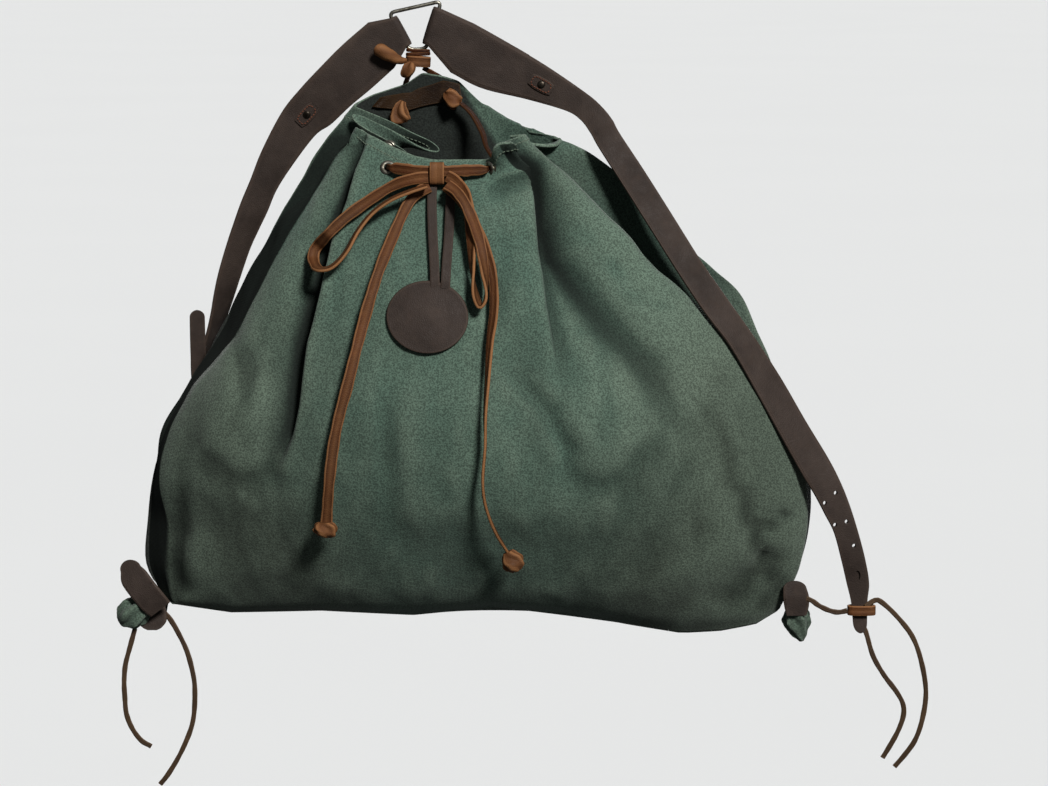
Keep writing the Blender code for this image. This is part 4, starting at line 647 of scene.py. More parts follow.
def sack_surface(places, rows):
    """The outside of the sack, rows down it by columns round it, and the shade painted on it."""
    grid = np.empty((len(rows), len(places), 3))
    for column, around in enumerate(places):
        points = [hem_point(around)] + [level_point(level, around) for level in LEVELS]
        grid[:, column] = curve(points, rows)
    grid = softened(grid)
    for points, row in zip(grid, rows):
        if row > 1:
            aligned(points, places, row)
    rows = np.array(rows, float)[:, None]
    sag = np.interp(grid[..., 0], *np.array(LOWER_EDGE, float).T)
    reach = np.clip((rows - SAG_FROM_LEVEL) / (len(LEVELS) - SAG_FROM_LEVEL), 0, 1)
    grid[..., 2] -= sag * reach ** 1.5
    normals = outward(grid)
    x, z = grid[..., 0], grid[..., 2]
    front = places < FRONT_END
    back = (places >= BACK_START) & (places < BACK_END)
    push, aside, dark = np.zeros((3, *x.shape))
    for folds, here in ((FRONT_FOLDS, front), (BACK_FOLDS, back)):
        for fold in folds:
            deep, carried, shaded = fold_shape(fold, x, z)
            push -= deep * here
            aside += carried * here
            dark = np.maximum(dark, shaded * here)
    for crease in CREASES:
        deep, shaded = crease_shape(crease, x, z)
        push -= deep * front
        dark = np.maximum(dark, shaded * front)
    for x_middle, z_middle, half_x, half_z, height in FRONT_SWELLINGS:
        near = ((x - x_middle) / half_x) ** 2 + ((z - z_middle) / half_z) ** 2
        push += height * np.exp(-near ** 1.5) * front
    push += crumple(grid, 30, 62, 3) * 2.0 + crumple(grid, 11, 26, 9) * 0.6
    ease = np.clip(rows, 0.25, 1) * np.clip((len(LEVELS) - rows) / 1.5, 0, 1)
    grid = grid + normals * (push * ease)[..., None]
    grid[..., 0] += aside * ease
    share = np.clip((places - BACK_END) / (1 - BACK_END), 0, 1)
    # Painted shade: on the left side's cloth behind the front panel's edge, a painted shadow on the
    # right side beside and under the right strap, and under the lips of the two deep folds.
    hidden_shade = (np.interp(grid[..., 2], (-505, -480, -106, -90), (0.3, 1, 1, 0.5))
              * np.interp(share, (0, 1e-4, 0.012, 1), (0, 0.7, 1, 1)))
    right = (places > FRONT_END + 0.004) & (places < BACK_START)
    shadow = right * np.interp(grid[..., 2], (-500, -480, -400, -385, -255, -225, -130, -112),
                               (0, 0.8, 0.8, 0, 0, 0.6, 0.45, 0.1))
    deep = beside_fold(grid, places, DEEP_FOLD, DEEP_SHARE, -1, DEEP_SHADE)
    flap = beside_fold(grid, places, FLAP_EDGE, FLAP_SHARE, 1, FLAP_SHADE)
    return grid, np.maximum.reduce([dark, hidden_shade, shadow, deep, flap])


PLACES = column_places()
OUTER, PAINTED_SHADE_GRID = sack_surface(PLACES, DROP_ROWS)
QUADS = [(a, d, c, b) for a, b, c, d in tube_faces(len(DROP_ROWS), len(PLACES), False)]
TREE = BVHTree.FromPolygons([Vector(p) for p in OUTER.reshape(-1, 3)], QUADS)


def sack_y(x, z, way=1):
    """Where the sack's outside lies behind a point of the X-Z plane, or before it for way -1."""
    hit = TREE.ray_cast(Vector((x, -1000 * way, z)), Vector((0, way, 0)))[0]
    return hit.y if hit else None


def eyelet_seat(x, z, layer, turned_by):
    """The middle of an eyelet in one layer of the canvas, from the front, and the way it looks."""
    y = -1000
    for _ in range(layer + 1):
        place, facing = TREE.ray_cast(Vector((x, y, z)), Vector((0, 1, 0)))[:2]
        y = place.y + 0.01
    if turned_by is not None:
        turn = math.radians(turned_by)
        facing = Vector((-math.sin(turn), -math.cos(turn), 0))
    return place - facing * CANVAS / 2, facing


SEATS = {name: eyelet_seat(*where) for name, *where in EYELETS}


# Materials

class Finish:
    """A node material under construction."""

    def __init__(self, name, **settings):
        self.material = bpy.data.materials.new(name)
        self.material.use_nodes = True
        self.tree = self.material.node_tree
        self.shader = self.tree.nodes["Principled BSDF"]
        self.place = self.add("TexCoord").outputs["Object"]
        for key, value in settings.items():
            self.shader.inputs[key.replace("_", " ")].default_value = value

    def add(self, kind, *inputs, **settings):
        """A new node: inputs are pairs of a socket's name or number and its value or source."""
        node = self.tree.nodes.new("ShaderNode" + kind)
        for key, value in settings.items():
            setattr(node, key, value)
        for key, value in inputs:
            if isinstance(value, bpy.types.NodeSocket):
                self.tree.links.new(value, node.inputs[key])
            else:
                node.inputs[key].default_value = value
        return node

    def attribute(self, name, share=1.0):
        return self.times(self.add("Attribute", attribute_name=name).outputs["Fac"], share)

    def math(self, operation, a, b=0.0):
        return self.add("Math", (0, a), (1, b), operation=operation).outputs[0]

    def times(self, value, by):
        return value if by == 1.0 else self.math("MULTIPLY", value, by)

    def plus(self, first, by, second, by_second):
        return self.math("ADD", self.times(first, by), self.times(second, by_second))

    def noise(self, place, scale, detail=4.0, rough=0.55, stretch=None):
        """A random value around a half, drawn out by stretch along each axis."""
        if stretch:
            place = self.add("Mapping", ("Vector", place), ("Scale", stretch)).outputs[0]
        return self.add("TexNoise", ("Vector", place), ("Scale", scale), ("Detail", detail),
                        ("Roughness", rough)).outputs["Fac"]

    def span(self, value, low, high, to_low=0.0, to_high=1.0):
        return self.add("MapRange", ("Value", value), ("From Min", low), ("From Max", high),
                        ("To Min", to_low), ("To Max", to_high)).outputs["Result"]

    def mix(self, share, first, second, blend="MIX"):
        ends = [v if isinstance(v, bpy.types.NodeSocket) else (*v, 1.0) for v in (first, second)]
        return self.add("Mix", (0, share), (6, ends[0]), (7, ends[1]), data_type="RGBA",
                        blend_type=blend).outputs[2]

    def use(self, socket, name):
        self.tree.links.new(socket, self.shader.inputs[name])

    def bump(self, height, distance, strength, *after):
        return self.add("Bump", ("Height", height), ("Distance", distance),
                        ("Strength", strength), *(("Normal", a) for a in after)).outputs[0]

    def done(self, tone, normal):
        self.use(tone, "Base Color")
        self.use(normal, "Normal")
        return self.material


def canvas_finish():
    """Woven canvas: warp and weft, slubs, specks, wear, darker cloth low down and at the sides, and
    painted shade in the folds, the tucks and the lining.
    """
    made = Finish("canvas_look", Roughness=0.9, Sheen_Weight=0.25, Sheen_Roughness=0.4,
                  Specular_IOR_Level=0.2)
    flat = made.add("UVMap", uv_map="flat").outputs[0]
    axes = made.add("SeparateXYZ", ("Vector", flat)).outputs
    warp, weft = (made.math("SINE", made.times(axes[k], by * math.tau / THREAD))
                  for k, by in ((0, 1), (1, 0.9)))
    slub = made.noise(flat, 1.0, 3.0, 0.6, (760.0, 36.0, 1.0))
    pick = made.noise(flat, 1.0, 3.0, 0.6, (30.0, 640.0, 1.0))
    cloud = made.noise(made.place, 6.0, 5.0, 0.6)
    grime = made.noise(made.place, 22.0, 6.0, 0.7, (1.0, 1.0, 0.5))
    threads = made.plus(made.plus(slub, 0.65, pick, 0.35), 0.2,
                        made.noise(made.place, 800.0, 1.0, 0.5), 0.8)
    tone = made.mix(made.span(cloud, 0.35, 0.68), (0.063, 0.109, 0.083), (0.074, 0.112, 0.084))
    tone = made.mix(made.span(grime, 0.55, 0.75, 0.0, 0.35), tone, (0.048, 0.068, 0.052))
    # Darker, duller cloth towards the bottom and at the sides; wear lightens the hem and the
    # ridges; the inside mark is painted shade on the lining.
    for mark, share, colour in (("soil", 0.8, (0.042, 0.051, 0.038)),
                                ("wear", 0.7, (0.150, 0.200, 0.150)),
                                ("inside", 0.93, (0.012, 0.013, 0.012))):
        tone = made.mix(made.attribute(mark, share), tone, colour)
    tone = made.mix(1.0, tone, made.span(threads, 0.40, 0.60, 0.62, 1.32), "MULTIPLY")
    # Painted shade in the folds, the tucks and beside the right strap, nearly black, with the sheen
    # taken away there.
    creased = made.attribute("creased")
    tone = made.mix(made.times(creased, 0.94), tone, (0.004, 0.006, 0.005))
    made.use(made.span(creased, 0.0, 0.6, 0.14, 0.0), "Sheen Weight")
    weave = made.plus(made.plus(warp, 0.5, weft, 0.4), 0.5, threads, 1.6)
    rough = made.bump(weave, 0.0003, 0.7)
    return made.done(tone, made.bump(made.noise(made.place, 55.0, 4.0, 0.6), 0.0012, 0.5, rough))


def leather_finish(name, base, worn, dark, edge_share, gloss, seed):
    """Leather: base colour, where it is worn, where it is dark, and how light its edges are."""
    made = Finish(name, Specular_IOR_Level=0.14)
    spot = made.add("Mapping", ("Vector", made.place), ("Location", (seed, seed, seed))).outputs[0]
    cloud = made.noise(spot, 26.0, 5.0, 0.65)
    fine = made.noise(spot, 240.0, 5.0, 0.7)
    rub = made.noise(spot, 70.0, 6.0, 0.75)
    cells = made.add("TexVoronoi", ("Vector", spot), ("Scale", 650.0), feature="DISTANCE_TO_EDGE")
    tone = made.mix(made.span(cloud, 0.35, 0.7), dark, base)
    tone = made.mix(made.span(rub, 0.52, 0.78, 0.0, 0.35), tone, worn)
    tone = made.mix(made.span(fine, 0.3, 0.7, 0.0, 0.35), tone, dark)
    # Lighter edges: wear and lighter cut edges, and on the laces and their knots also a painted
    # highlight along them.
    tone = made.mix(made.attribute("edge", edge_share), tone, worn)
    tone = made.mix(made.attribute("shade"), tone, dark)
    made.use(made.span(rub, 0.3, 0.75, gloss - 0.1, gloss + 0.18), "Roughness")
    grain = made.plus(made.span(cells.outputs["Distance"], 0.0, 0.3), 0.6, fine, 0.9)
    return made.done(tone, made.bump(cloud, 0.0015, 0.5, made.bump(grain, 0.0004, 0.6)))


def thread_finish(name, colour):
    """Waxed sewing thread with the twist of its plies."""
    made = Finish(name, Roughness=0.7, Specular_IOR_Level=0.2)
    twist = made.noise(made.place, 900.0, 3.0, 0.6)
    dark = tuple(c / 2 for c in colour)
    return made.done(made.mix(made.span(twist, 0.35, 0.65), dark, colour),
                     made.bump(twist, 0.0003, 0.8))


def metal_finish(name, dull, bright):
    """Aged metal, brighter where it is rubbed."""
    made = Finish(name, Metallic=1.0)
    rub = made.noise(made.place, 160.0, 6.0, 0.7)
    made.use(made.span(rub, 0.35, 0.7, 0.5, 0.24), "Roughness")
    return made.done(made.mix(made.span(rub, 0.42, 0.62), dull, bright),
                     made.bump(rub, 0.0003, 0.5))


LOOKS = {
    "canvas": canvas_finish(),
    "strap_leather": leather_finish("strap_look", (0.050, 0.0365, 0.030), (0.074, 0.051, 0.039),
                                    (0.025, 0.0178, 0.0145), 0.4, 0.62, 2.0),
    "lace_leather": leather_finish("lace_look", (0.071, 0.0175, 0.0028), (0.265, 0.122, 0.049),
                                   (0.024, 0.006, 0.0012), 0.9, 0.6, 5.0),
    "tie_leather": leather_finish("tie_look", (0.070, 0.042, 0.022), (0.150, 0.090, 0.048),
                                  (0.032, 0.019, 0.011), 0.5, 0.6, 8.0),
    "patch_leather": leather_finish("patch_look", (0.034, 0.016, 0.005), (0.085, 0.045, 0.018),
                                    (0.012, 0.006, 0.003), 0.5, 0.55, 3.0),
    "ring_metal": metal_finish("metal_look", (0.10, 0.09, 0.07), (0.52, 0.50, 0.42)),
    "stud_metal": metal_finish("stud_look", (0.02, 0.016, 0.012), (0.09, 0.075, 0.06)),
    "thread": thread_finish("thread_look", (0.15, 0.19, 0.14)),
    "red_thread": thread_finish("red_thread_look", (0.16, 0.055, 0.03)),
}


# Making pieces

def outward_faces(mesh):
    work = bmesh.new()
    work.from_mesh(mesh)
    bmesh.ops.recalc_face_normals(work, faces=work.faces)
    work.to_mesh(mesh)
    work.free()


def shape(name, points, faces):
    """A mesh from points in millimetres."""
    mesh = bpy.data.meshes.new(name)
    mesh.from_pydata((np.asarray(points, float).reshape(-1, 3) * MM).tolist(), [], faces)
    return mesh


def linked(name, data):
    obj = bpy.data.objects.new(name, data)
    bpy.context.scene.collection.objects.link(obj)
    return obj


def piece(name, points, faces, look, replaces=(), sharp=60, flat=None, material=None, **marks):
    """A smooth piece in millimetres that rides on the rucksack and stands for CAD nodes."""
    mesh = shape(name, points, faces)
    if flat is not None:
        layer = mesh.uv_layers.new(name="flat")
        corners = np.empty(len(mesh.loops), dtype=np.int32)
        mesh.loops.foreach_get("vertex_index", corners)
        spread = (np.asarray(flat).reshape(-1, 2) * MM)[corners]
        layer.data.foreach_set("uv", spread.astype(np.float32).ravel())
    for mark, values in marks.items():
        layer = mesh.attributes.new(mark, "FLOAT", "POINT")
        layer.data.foreach_set("value", np.asarray(values, np.float32).ravel())
    outward_faces(mesh)
    mesh.shade_smooth()
    mesh.set_sharp_from_angle(angle=math.radians(sharp))
    mesh.materials.append(LOOKS[material or look])
    obj = linked(name, mesh)
    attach(obj, "root")
    if replaces:
        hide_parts(*replaces)
    return obj


def strip_section(thick, width, crown):
    """The outline of a strip's section: across -1 to 1, depth, and how near its edge it is."""
    inset = 1 - 0.9 * thick / width
    spots = []
    for side in (1, -1):
        spots += [(-share * side * inset, side * (thick / 2 + crown * (1 - share * share)))
                  for share in (-0.95, -0.78, -0.6, 0, 0.6, 0.78, 0.95)]
        spots += [(side * (inset + (1 - inset) * math.cos(turn)), side * math.sin(turn) * thick / 2)
                  for turn in np.radians((60, 25, -25, -60))]
    spots = np.array(spots)
    return spots[:, 0], spots[:, 1:], np.interp(np.abs(spots[:, 0]), (0.7, 0.95), (0, 1))


def strip(name, middle, across, facing, width, thick, look, replaces, crown, looped=False, shade=0):
    """A flat strip along a line: across and facing say how it lies, width may change along it."""
    count = len(middle)
    width = np.broadcast_to(np.asarray(width, float), (count,))
    aside, depth, edge = strip_section(thick, float(width.mean()), crown)
    half = aside * width[:, None] / 2
    rings = middle[:, None] + across[:, None] * half[..., None] + facing[:, None] * depth
    flat = np.stack(np.broadcast_arrays(distances(middle)[:, None], half), -1)
    faces = tube_faces(count, len(aside), looped=looped)
    return piece(name, rings, faces, look, replaces, 50, flat,
                 edge=np.broadcast_to(edge, half.shape),
                 shade=np.broadcast_to(np.reshape(shade, (-1, 1)), half.shape))


def lace(name, nodes, rows, width, step, tilt=0, shade=0, thick=LACE_THICK,
         look="lace_leather"):
    """A flat lace along a line: width, tilt and shade may change along it."""
    rows = np.asarray(rows, float)
    extra = [np.broadcast_to(np.reshape(value, (-1, 1)), (len(rows), 1))
             for value in (tilt, width, shade)]
    line = evenly(smooth_through(np.hstack([rows[:, :3]] + extra), 4), step)
    middle = line[:, :3]
    along = unit(np.gradient(middle, axis=0))
    facing, now = [], np.array((0, -1.0, 0))
    for way in along:
        now = unit(now - way * np.dot(now, way))
        facing.append(now)
    facing = np.array(facing)
    across = np.cross(along, facing)
    cos, sin = np.cos(np.radians(line[:, 3:4])), np.sin(np.radians(line[:, 3:4]))
    facing, across = facing * cos + across * sin, across * cos - facing * sin
    share = np.linspace(0, 1, len(line))
    wave = 1 + 0.05 * np.sin(share * 31 + len(name)) + 0.03 * np.sin(share * 83)
    obj = strip(name, middle, across, facing, line[:, 4] * wave, thick, look, nodes, -0.25,
                shade=np.clip(line[:, 5], 0, 1))


def oval(name, centre, size, width, thick, axis, replaces, lean=0):
    """A band round the axis X or Z: size is across it and from front to back."""
    angles = circle(48)
    a, b = ((reach - thick) / 2 * np.copysign(np.abs(part) ** 0.7, part)
            for reach, part in zip(size, (np.cos(angles), np.sin(angles))))
    none = np.zeros(48)
    middle = np.stack((none, a, b) if axis == "X" else (b, a, none), -1)
    across = np.tile((1.0, 0, 0) if axis == "X" else (0, 0, 1.0), (48, 1))
    facing = unit(np.cross(looped_way(middle), across))
    if np.sum(facing * middle) < 0:
        facing = -facing
    turn = np.array(Matrix.Rotation(math.radians(lean), 3, "Y")).T
    strip(name, middle @ turn + np.array(centre), across @ turn, facing @ turn, width, thick,
          "lace_leather", replaces, -0.2, True)


def rod(rows):
    """A line with a radius, through the rows: its middle, radius and two ways across it."""
    rows = smooth_through(rows, 6)
    along = unit(np.gradient(rows[:, :3], axis=0))
    across = unit(np.cross(along, np.array([0, 1.0, 0])))
    return rows[:, None, :3], rows[:, 3:], across[:, None], np.cross(along, across)[:, None]


def gathered(name, rows, replaces, sides=48, pleats=5, deep=0.24, look="lace_leather"):
    """A gathered bunch of cloth or leather along a line, with pleats that run along it."""
    middle, radius, across, third = rod(rows)
    at, angle = np.arange(len(middle))[:, None], circle(sides)
    ripple = np.cos(pleats * angle + 0.22 * at + 1.3 * np.sin(2 * angle))
    reach = radius * (1 + deep * ripple + 0.05 * np.cos(3 * angle + 0.6 * at) - deep * 0.6)
    cos, sin = np.cos(angle)[:, None], np.sin(angle)[:, None]
    points = middle + reach[..., None] * (across * cos + third * sin)
    ridge = np.maximum(ripple, 0)
    flat = np.stack(np.broadcast_arrays(np.arange(sides) * 2.0, at * 2.0), -1)
    # The crests of the pleats are lighter: wear on canvas, and on leather wear with a painted
    # highlight.
    return piece(name, points, tube_faces(len(middle), sides), look, replaces, 60, flat,
                 wear=ridge * 0.3, soil=np.full(ridge.shape, 0.6), edge=0.25 + 0.65 * ridge)


def rolled(name, rows, turns, replaces):
    """A strip of leather rolled up along a line, its free edge to the front."""
    middle, radius, across, third = rod(rows)
    at = np.arange(len(middle))[:, None]
    spin = np.linspace(0, math.tau * turns, 50)
    share = 0.30 + 0.70 * spin / spin[-1]
    angle = np.concatenate([spin, spin[::-1]])
    reach = np.concatenate([share, share[::-1] - 0.24]) + 0.03 * np.sin(at * 0.9 + angle)
    turned_to = (angle - 0.9 + 0.012 * at)[..., None]
    points = middle + (radius * reach)[..., None] * (across * np.cos(turned_to)
                                                     + third * np.sin(turned_to))
    # The rim and rolled end are lightest, a lighter cut edge with a painted highlight; the rest is
    # lighter in bands.
    rim = (np.abs(np.arange(100) - 50) < 3) | (at < 2)
    piece(name, points, tube_faces(len(middle), 100), "lace_leather", replaces, 50,
          edge=np.where(rim, 1, 0.55 + 0.25 * np.sin(0.35 * at + 3 * angle)))


def turned(name, profile, centre, axis, segments, replaces, material=None):
    """A closed ring turned round an axis: the profile is radius and height, a closed outline."""
    turn = Vector((0, 0, 1)).rotation_difference(Vector(axis).normalized()).to_matrix()
    radius, height = np.array(profile, float).T
    angle = circle(segments)[:, None]
    spots = np.stack(np.broadcast_arrays(
        radius * np.cos(angle), radius * np.sin(angle), height), -1)
    faces = tube_faces(segments, len(profile), looped=True)
    piece(name, np.array(centre) + spots @ np.array(turn).T, faces, "ring_metal", replaces, 50,
          None, material)


def station_edges(stations, steps=6):
    rows = smooth_through(stations, steps)
    return rows[:, [0, 4, 1]], rows[:, [2, 5, 3]]


def rounded_end(outer, inner, reach):
    """Adds stations that close a strip with a round end."""
    middle, half = (outer[-1] + inner[-1]) / 2, (inner[-1] - outer[-1]) / 2
    along = unit(middle - (outer[-2] + inner[-2]) / 2)
    turn = np.radians((12, 24, 36, 48, 59, 69, 78, 85))[:, None]
    step, cut = middle + along * reach * np.sin(turn), half * np.cos(turn)
    return np.vstack([outer, step - cut]), np.vstack([inner, step + cut])


def band_strip(name, outer, inner, thick, replaces=(), flip=False, crown=0.0):
    """A strip of strap leather given by its two edges."""
    middle = (outer + inner) / 2
    width = np.linalg.norm(inner - outer, axis=1)
    across = (inner - outer) / np.maximum(width, 1e-6)[:, None]
    facing = unit(np.cross(unit(np.gradient(middle, axis=0)), across)) * (-1 if flip else 1)
    strip(name, middle, across, facing, width, thick, "strap_leather", replaces, crown)
    return middle, facing, across


def settled(edge, behind):
    """Moves an edge of a strap in Y to clear the sack, then smooths what it moved."""
    way, clear, pick = (-1, max, np.max) if behind else (1, min, np.min)
    gap = (STRAP_LEATHER / 2 + 1.2) * -way
    under = [(y, sack_y(x, z, way)) for x, y, z in edge]
    pushed = [y if canvas is None else clear(y, canvas + gap) for y, canvas in under]
    edge = edge.copy()
    edge[:, 1] = windowed(windowed(pushed, 5, pick), 5, np.mean)
    return edge


def draped(rows, step, width=LACE_WIDTH, reach=2):
    """The line of a lace that lies on the front of the sack, from given route points."""
    rows = smooth_through(rows, 6)
    x, z, clear, twist = rows.T
    y = []
    for place, height, gap in zip(x, z, clear):
        under = [sack_y(place + side * width / 2, height + drop)
                 for side in (-1, 0, 1) for drop in (-2, 2)]
        y.append(min(u for u in under if u is not None) - gap)
    y = windowed(windowed(y, reach, np.min), reach, np.mean)
    line = np.column_stack([x, y, z, twist])
    return evenly(line, step) if step else line


def stitches(name, line, facing, pitch, length, radius, look, slot):
    """A row of stitches along a line: short rounded bars that dip at both ends."""
    along, angle = distances(line), circle(6)[:, None]
    points, faces = [], []

    def beside(spots, at):
        return np.array([np.interp(at, along, spots[:, k]) for k in range(3)])

    for start in np.arange(pitch / 2, along[-1] - length, pitch):
        faces += [[len(points) * 6 + v for v in face] for face in tube_faces(5, 6)]
        for at, dip in zip(np.linspace(start, start + length, 5), (0, 0.85, 1, 0.85, 0)):
            spot, out = beside(line, at), unit(beside(facing, at))
            side = unit(np.cross(out, beside(line, at + 0.5) - spot))
            points.append(spot + out * radius * (dip * 1.2 - 0.5 + np.sin(angle))
                          + side * radius * np.cos(angle))
    piece(name, points, faces, slot, (), 60, None, look)


# The sack

def closing_faces(ring, wide):
    """Faces that close the lower end of a wall, between its front and its back."""
    tip = wide - LEFT_COLUMNS // 2
    half = LEFT_COLUMNS // 2 + FRONT_COLUMNS + RIGHT_COLUMNS // 2
    pairs = [(ring + (tip + k) % wide, ring + (tip - k) % wide) for k in range(half + 1)]
    faces = [list(dict.fromkeys((a, b, d, c))) for (a, b), (c, d) in zip(pairs, pairs[1:])]
    return [face for face in faces if len(face) > 2]


def build_sack():
    """The canvas: lining, rim and outside in one sheet, with its wear, its darker tone low down and
    at the sides, and the shade painted on it.
    """
    wide, deep = len(PLACES), len(DROP_ROWS)
    normals = outward(OUTER)
    raised = np.interp(DROP_ROWS, (0, HEM_REACH, HEM_REACH + 0.04), (0.45, 0.45, 0))
    outer = OUTER + normals * raised[:, None, None]
    bends = (OUTER[:-2] + OUTER[2:]) / 2 - OUTER[1:-1]
    dips = np.zeros((deep, wide))
    dips[1:-1] = np.clip(np.sum(bends * normals[1:-1], axis=2), 0, 6)
    dips[1:-1] = np.maximum(dips[:-2], dips[2:])
    tuck = (PLACES > BACK_END) | (PLACES < FRONT_END * 0.03)
    dips[:, tuck] = 0
    depth = np.interp(DROP_ROWS, (0, HEM_REACH, HEM_REACH + 0.06), (2.2, 2.2, 1.6))[:, None]
    depth = np.where(tuck, np.minimum(depth, 1.0), depth)
    lined = np.arange(0, deep - 2, 2)
    inner = (OUTER - unit(evened(normals, 3)) * (depth + dips * 1.2)[..., None])[lined]
    rise = unit(OUTER[0] - OUTER[1])
    centre, half = (outer[0] + inner[0]) / 2, (outer[0] - inner[0]) / 2
    lifted = rise * np.linalg.norm(half, axis=1)[:, None]
    rim = [centre + half * math.cos(turn) + lifted * math.sin(turn)
           for turn in np.radians((150, 115, 90, 65, 30))]
    sheet = np.vstack([inner[::-1], np.array(rim), outer])
    across = np.roll(sheet, -1, 1)
    middles = (sheet[:-1] + sheet[1:] + across[:-1] + across[1:]) / 4
    keep = np.ones(middles.shape[:2], bool)
    for spot, radius in ([(np.array(seat[0]), EYELET_BARREL) for seat in SEATS.values()]
                         + [(np.array(hole), 2.4) for hole in HANG_HOLES]):
        keep &= np.linalg.norm(middles - spot, axis=2) > radius
    rows = len(sheet)
    faces = [face for face, kept in zip(tube_faces(rows, wide, False), keep.ravel()) if kept]
    faces += closing_faces((rows - 1) * wide, wide) + closing_faces(0, wide)

    down = np.linalg.norm(np.diff(OUTER, axis=0), axis=2).mean(axis=1)
    down = np.concatenate([[0], np.cumsum(down)])
    along = np.concatenate([-down[lined][::-1] - 8, [-6, -4, -3, -2, -1], down])
    middle_row = OUTER[int(deep * 0.62)]
    gaps = np.linalg.norm(np.roll(middle_row, -1, axis=0) - middle_row, axis=1)
    round_it = np.concatenate([[0], np.cumsum(gaps)[:-1]])
    flat = np.stack(np.broadcast_arrays(round_it, along[:, None]), -1)

    ridge = np.sum((OUTER - evened(OUTER, 6)) * normals, axis=2)
    below = np.interp(DROP_ROWS, (0, 0.05, 0.16, HEM_REACH - 0.04, HEM_REACH, HEM_REACH + 0.05),
                      (0.6, 0.2, 0.1, 0.15, 0.5, 0))
    worn = np.clip(np.clip(ridge / 0.9, 0, 1) * 0.5 + below[:, None], 0, 1)
    # Darker towards the bottom and, lower down, towards both sides.
    low = np.interp(DROP_ROWS, (9, 10, 11, 13), (0, 0.2, 0.4, 0.5))[:, None]
    aside = np.clip((np.abs(OUTER[..., 0] - 52) - 70) / 130, 0, 1)
    darker_low_and_aside = np.clip(low + aside * np.interp(DROP_ROWS, (3.5, 6.5), (0, 1))[:, None], 0, 1)
    # Painted shade on the lining: dark on the left of a slanting line, and dark in the tucks from
    # just below the rim down.
    hidden_shade = np.interp(36.9 + (-60.8 - inner[..., 2]) * 0.62 - inner[..., 0], (-2, 3), (0, 1))
    tucked = ((PLACES > BACK_END) | (PLACES < FRONT_END * 0.12)
              | ((PLACES > FRONT_END) & (PLACES < BACK_START + 0.05)))
    hidden_shade = np.where(tucked, np.interp(DROP_ROWS[lined], (0.4, 1.6), (0.1, 1))[:, None], hidden_shade)

    def marked(lining, on_rim, outside):
        return np.vstack([(np.zeros((deep, wide))[lined] + lining)[::-1],
                          np.full((len(rim), wide), on_rim), np.zeros((deep, wide)) + outside])

    seam = int(np.searchsorted(DROP_ROWS, HEM_REACH - 0.05))
    loop, facing = (np.vstack([each[seam], each[seam, :1]]) for each in (outer, normals))
    stitches("hem_seam", loop, facing, 3.6, 2.5, 0.42, "thread", "canvas")
    piece("sack", sheet, faces, "canvas", ("bag_shell",), 180, flat,
          wear=marked(worn[lined] * 0.3, 0.9, worn), soil=marked(darker_low_and_aside[lined], 0, darker_low_and_aside),
          inside=marked(hidden_shade, 0, 0), creased=marked(0, 0, np.clip(PAINTED_SHADE_GRID, 0, 1)))


def build_back_patch():
    """The leather patch inside the back of the mouth, with a wavy upper edge."""
    first, last = np.searchsorted(PLACES, (0.70, 0.838))
    around = PLACES[first:last + 1]
    top = np.interp(around, (0.70, 0.735, 0.75, 0.775, 0.80, 0.84),
                    (0.04, 0.05, 0.16, 0.30, 0.17, 0.1))
    low = np.interp(around, (0.70, 0.735, 0.77, 0.79, 0.82, 0.84),
                    (0.3, 0.5, 0.65, 0.52, 0.38, 0.28))
    rows = np.linspace(0, 0.8, 40)
    grid = sack_surface(PLACES, rows)[0]
    inwards = -outward(grid)
    deep, wide = 16, len(around)
    points = np.empty((2, deep, wide, 3))
    for r, share in enumerate(np.linspace(0, 1, deep)):
        for c in range(wide):
            spot, way = (
                np.array([np.interp(between(top[c], low[c], share), rows, side[:, first + c, axis])
                          for axis in range(3)]) for side in (grid, inwards))
            far = 4.9 + 0.5 * math.sin(c * 0.35) * share
            points[:, r, c] = spot + way * 2.9, spot + way * far
    near, far = np.arange(2 * deep * wide).reshape(2, deep, wide)
    corners = [(slice(a, deep - 1 + a), slice(b, wide - 1 + b))
               for a, b in ((0, 0), (1, 0), (1, 1), (0, 1))]
    faces = [np.stack([side[corner] for corner in order], -1).reshape(-1, 4).tolist()
             for side, order in ((near, corners), (far, corners[:1] + corners[:0:-1]))]
    edge = np.concatenate([near[0], near[1:, -1], near[-1, -2::-1], near[-2:0:-1, 0]]).tolist()
    faces = faces[0] + faces[1] + [
        (a, b, deep * wide + b, deep * wide + a) for a, b in zip(edge, edge[1:] + edge[:1])]
    rim = np.full((2, deep, wide), 0.6)
    rim[:, 1:-1, 1:-1] = 0
    piece("back_patch_leather", points, faces, "strap_leather", ("back_patch",), 40, None,
          "patch_leather", edge=rim)


def build_eyelets():
    """Rolled metal eyelets, one profile for both faces."""
    grip, rim, reach = CANVAS / 2 + 0.4, CANVAS / 2 + 1.4, EYELET_FLANGE
    half = [(EYELET_BARREL, grip), (reach - 0.4, grip), (reach, grip + 0.2),
            (reach - 0.5, rim - 0.2), (EYELET_HOLE + 0.6, rim), (EYELET_HOLE, rim - 0.5)]
    profile = [(radius, -height) for radius, height in half[::-1]] + half
    for name, (centre, facing) in SEATS.items():
        turned("eyelet_metal_" + name, profile, centre, facing, 36, ("eyelet_" + name,))


# Straps

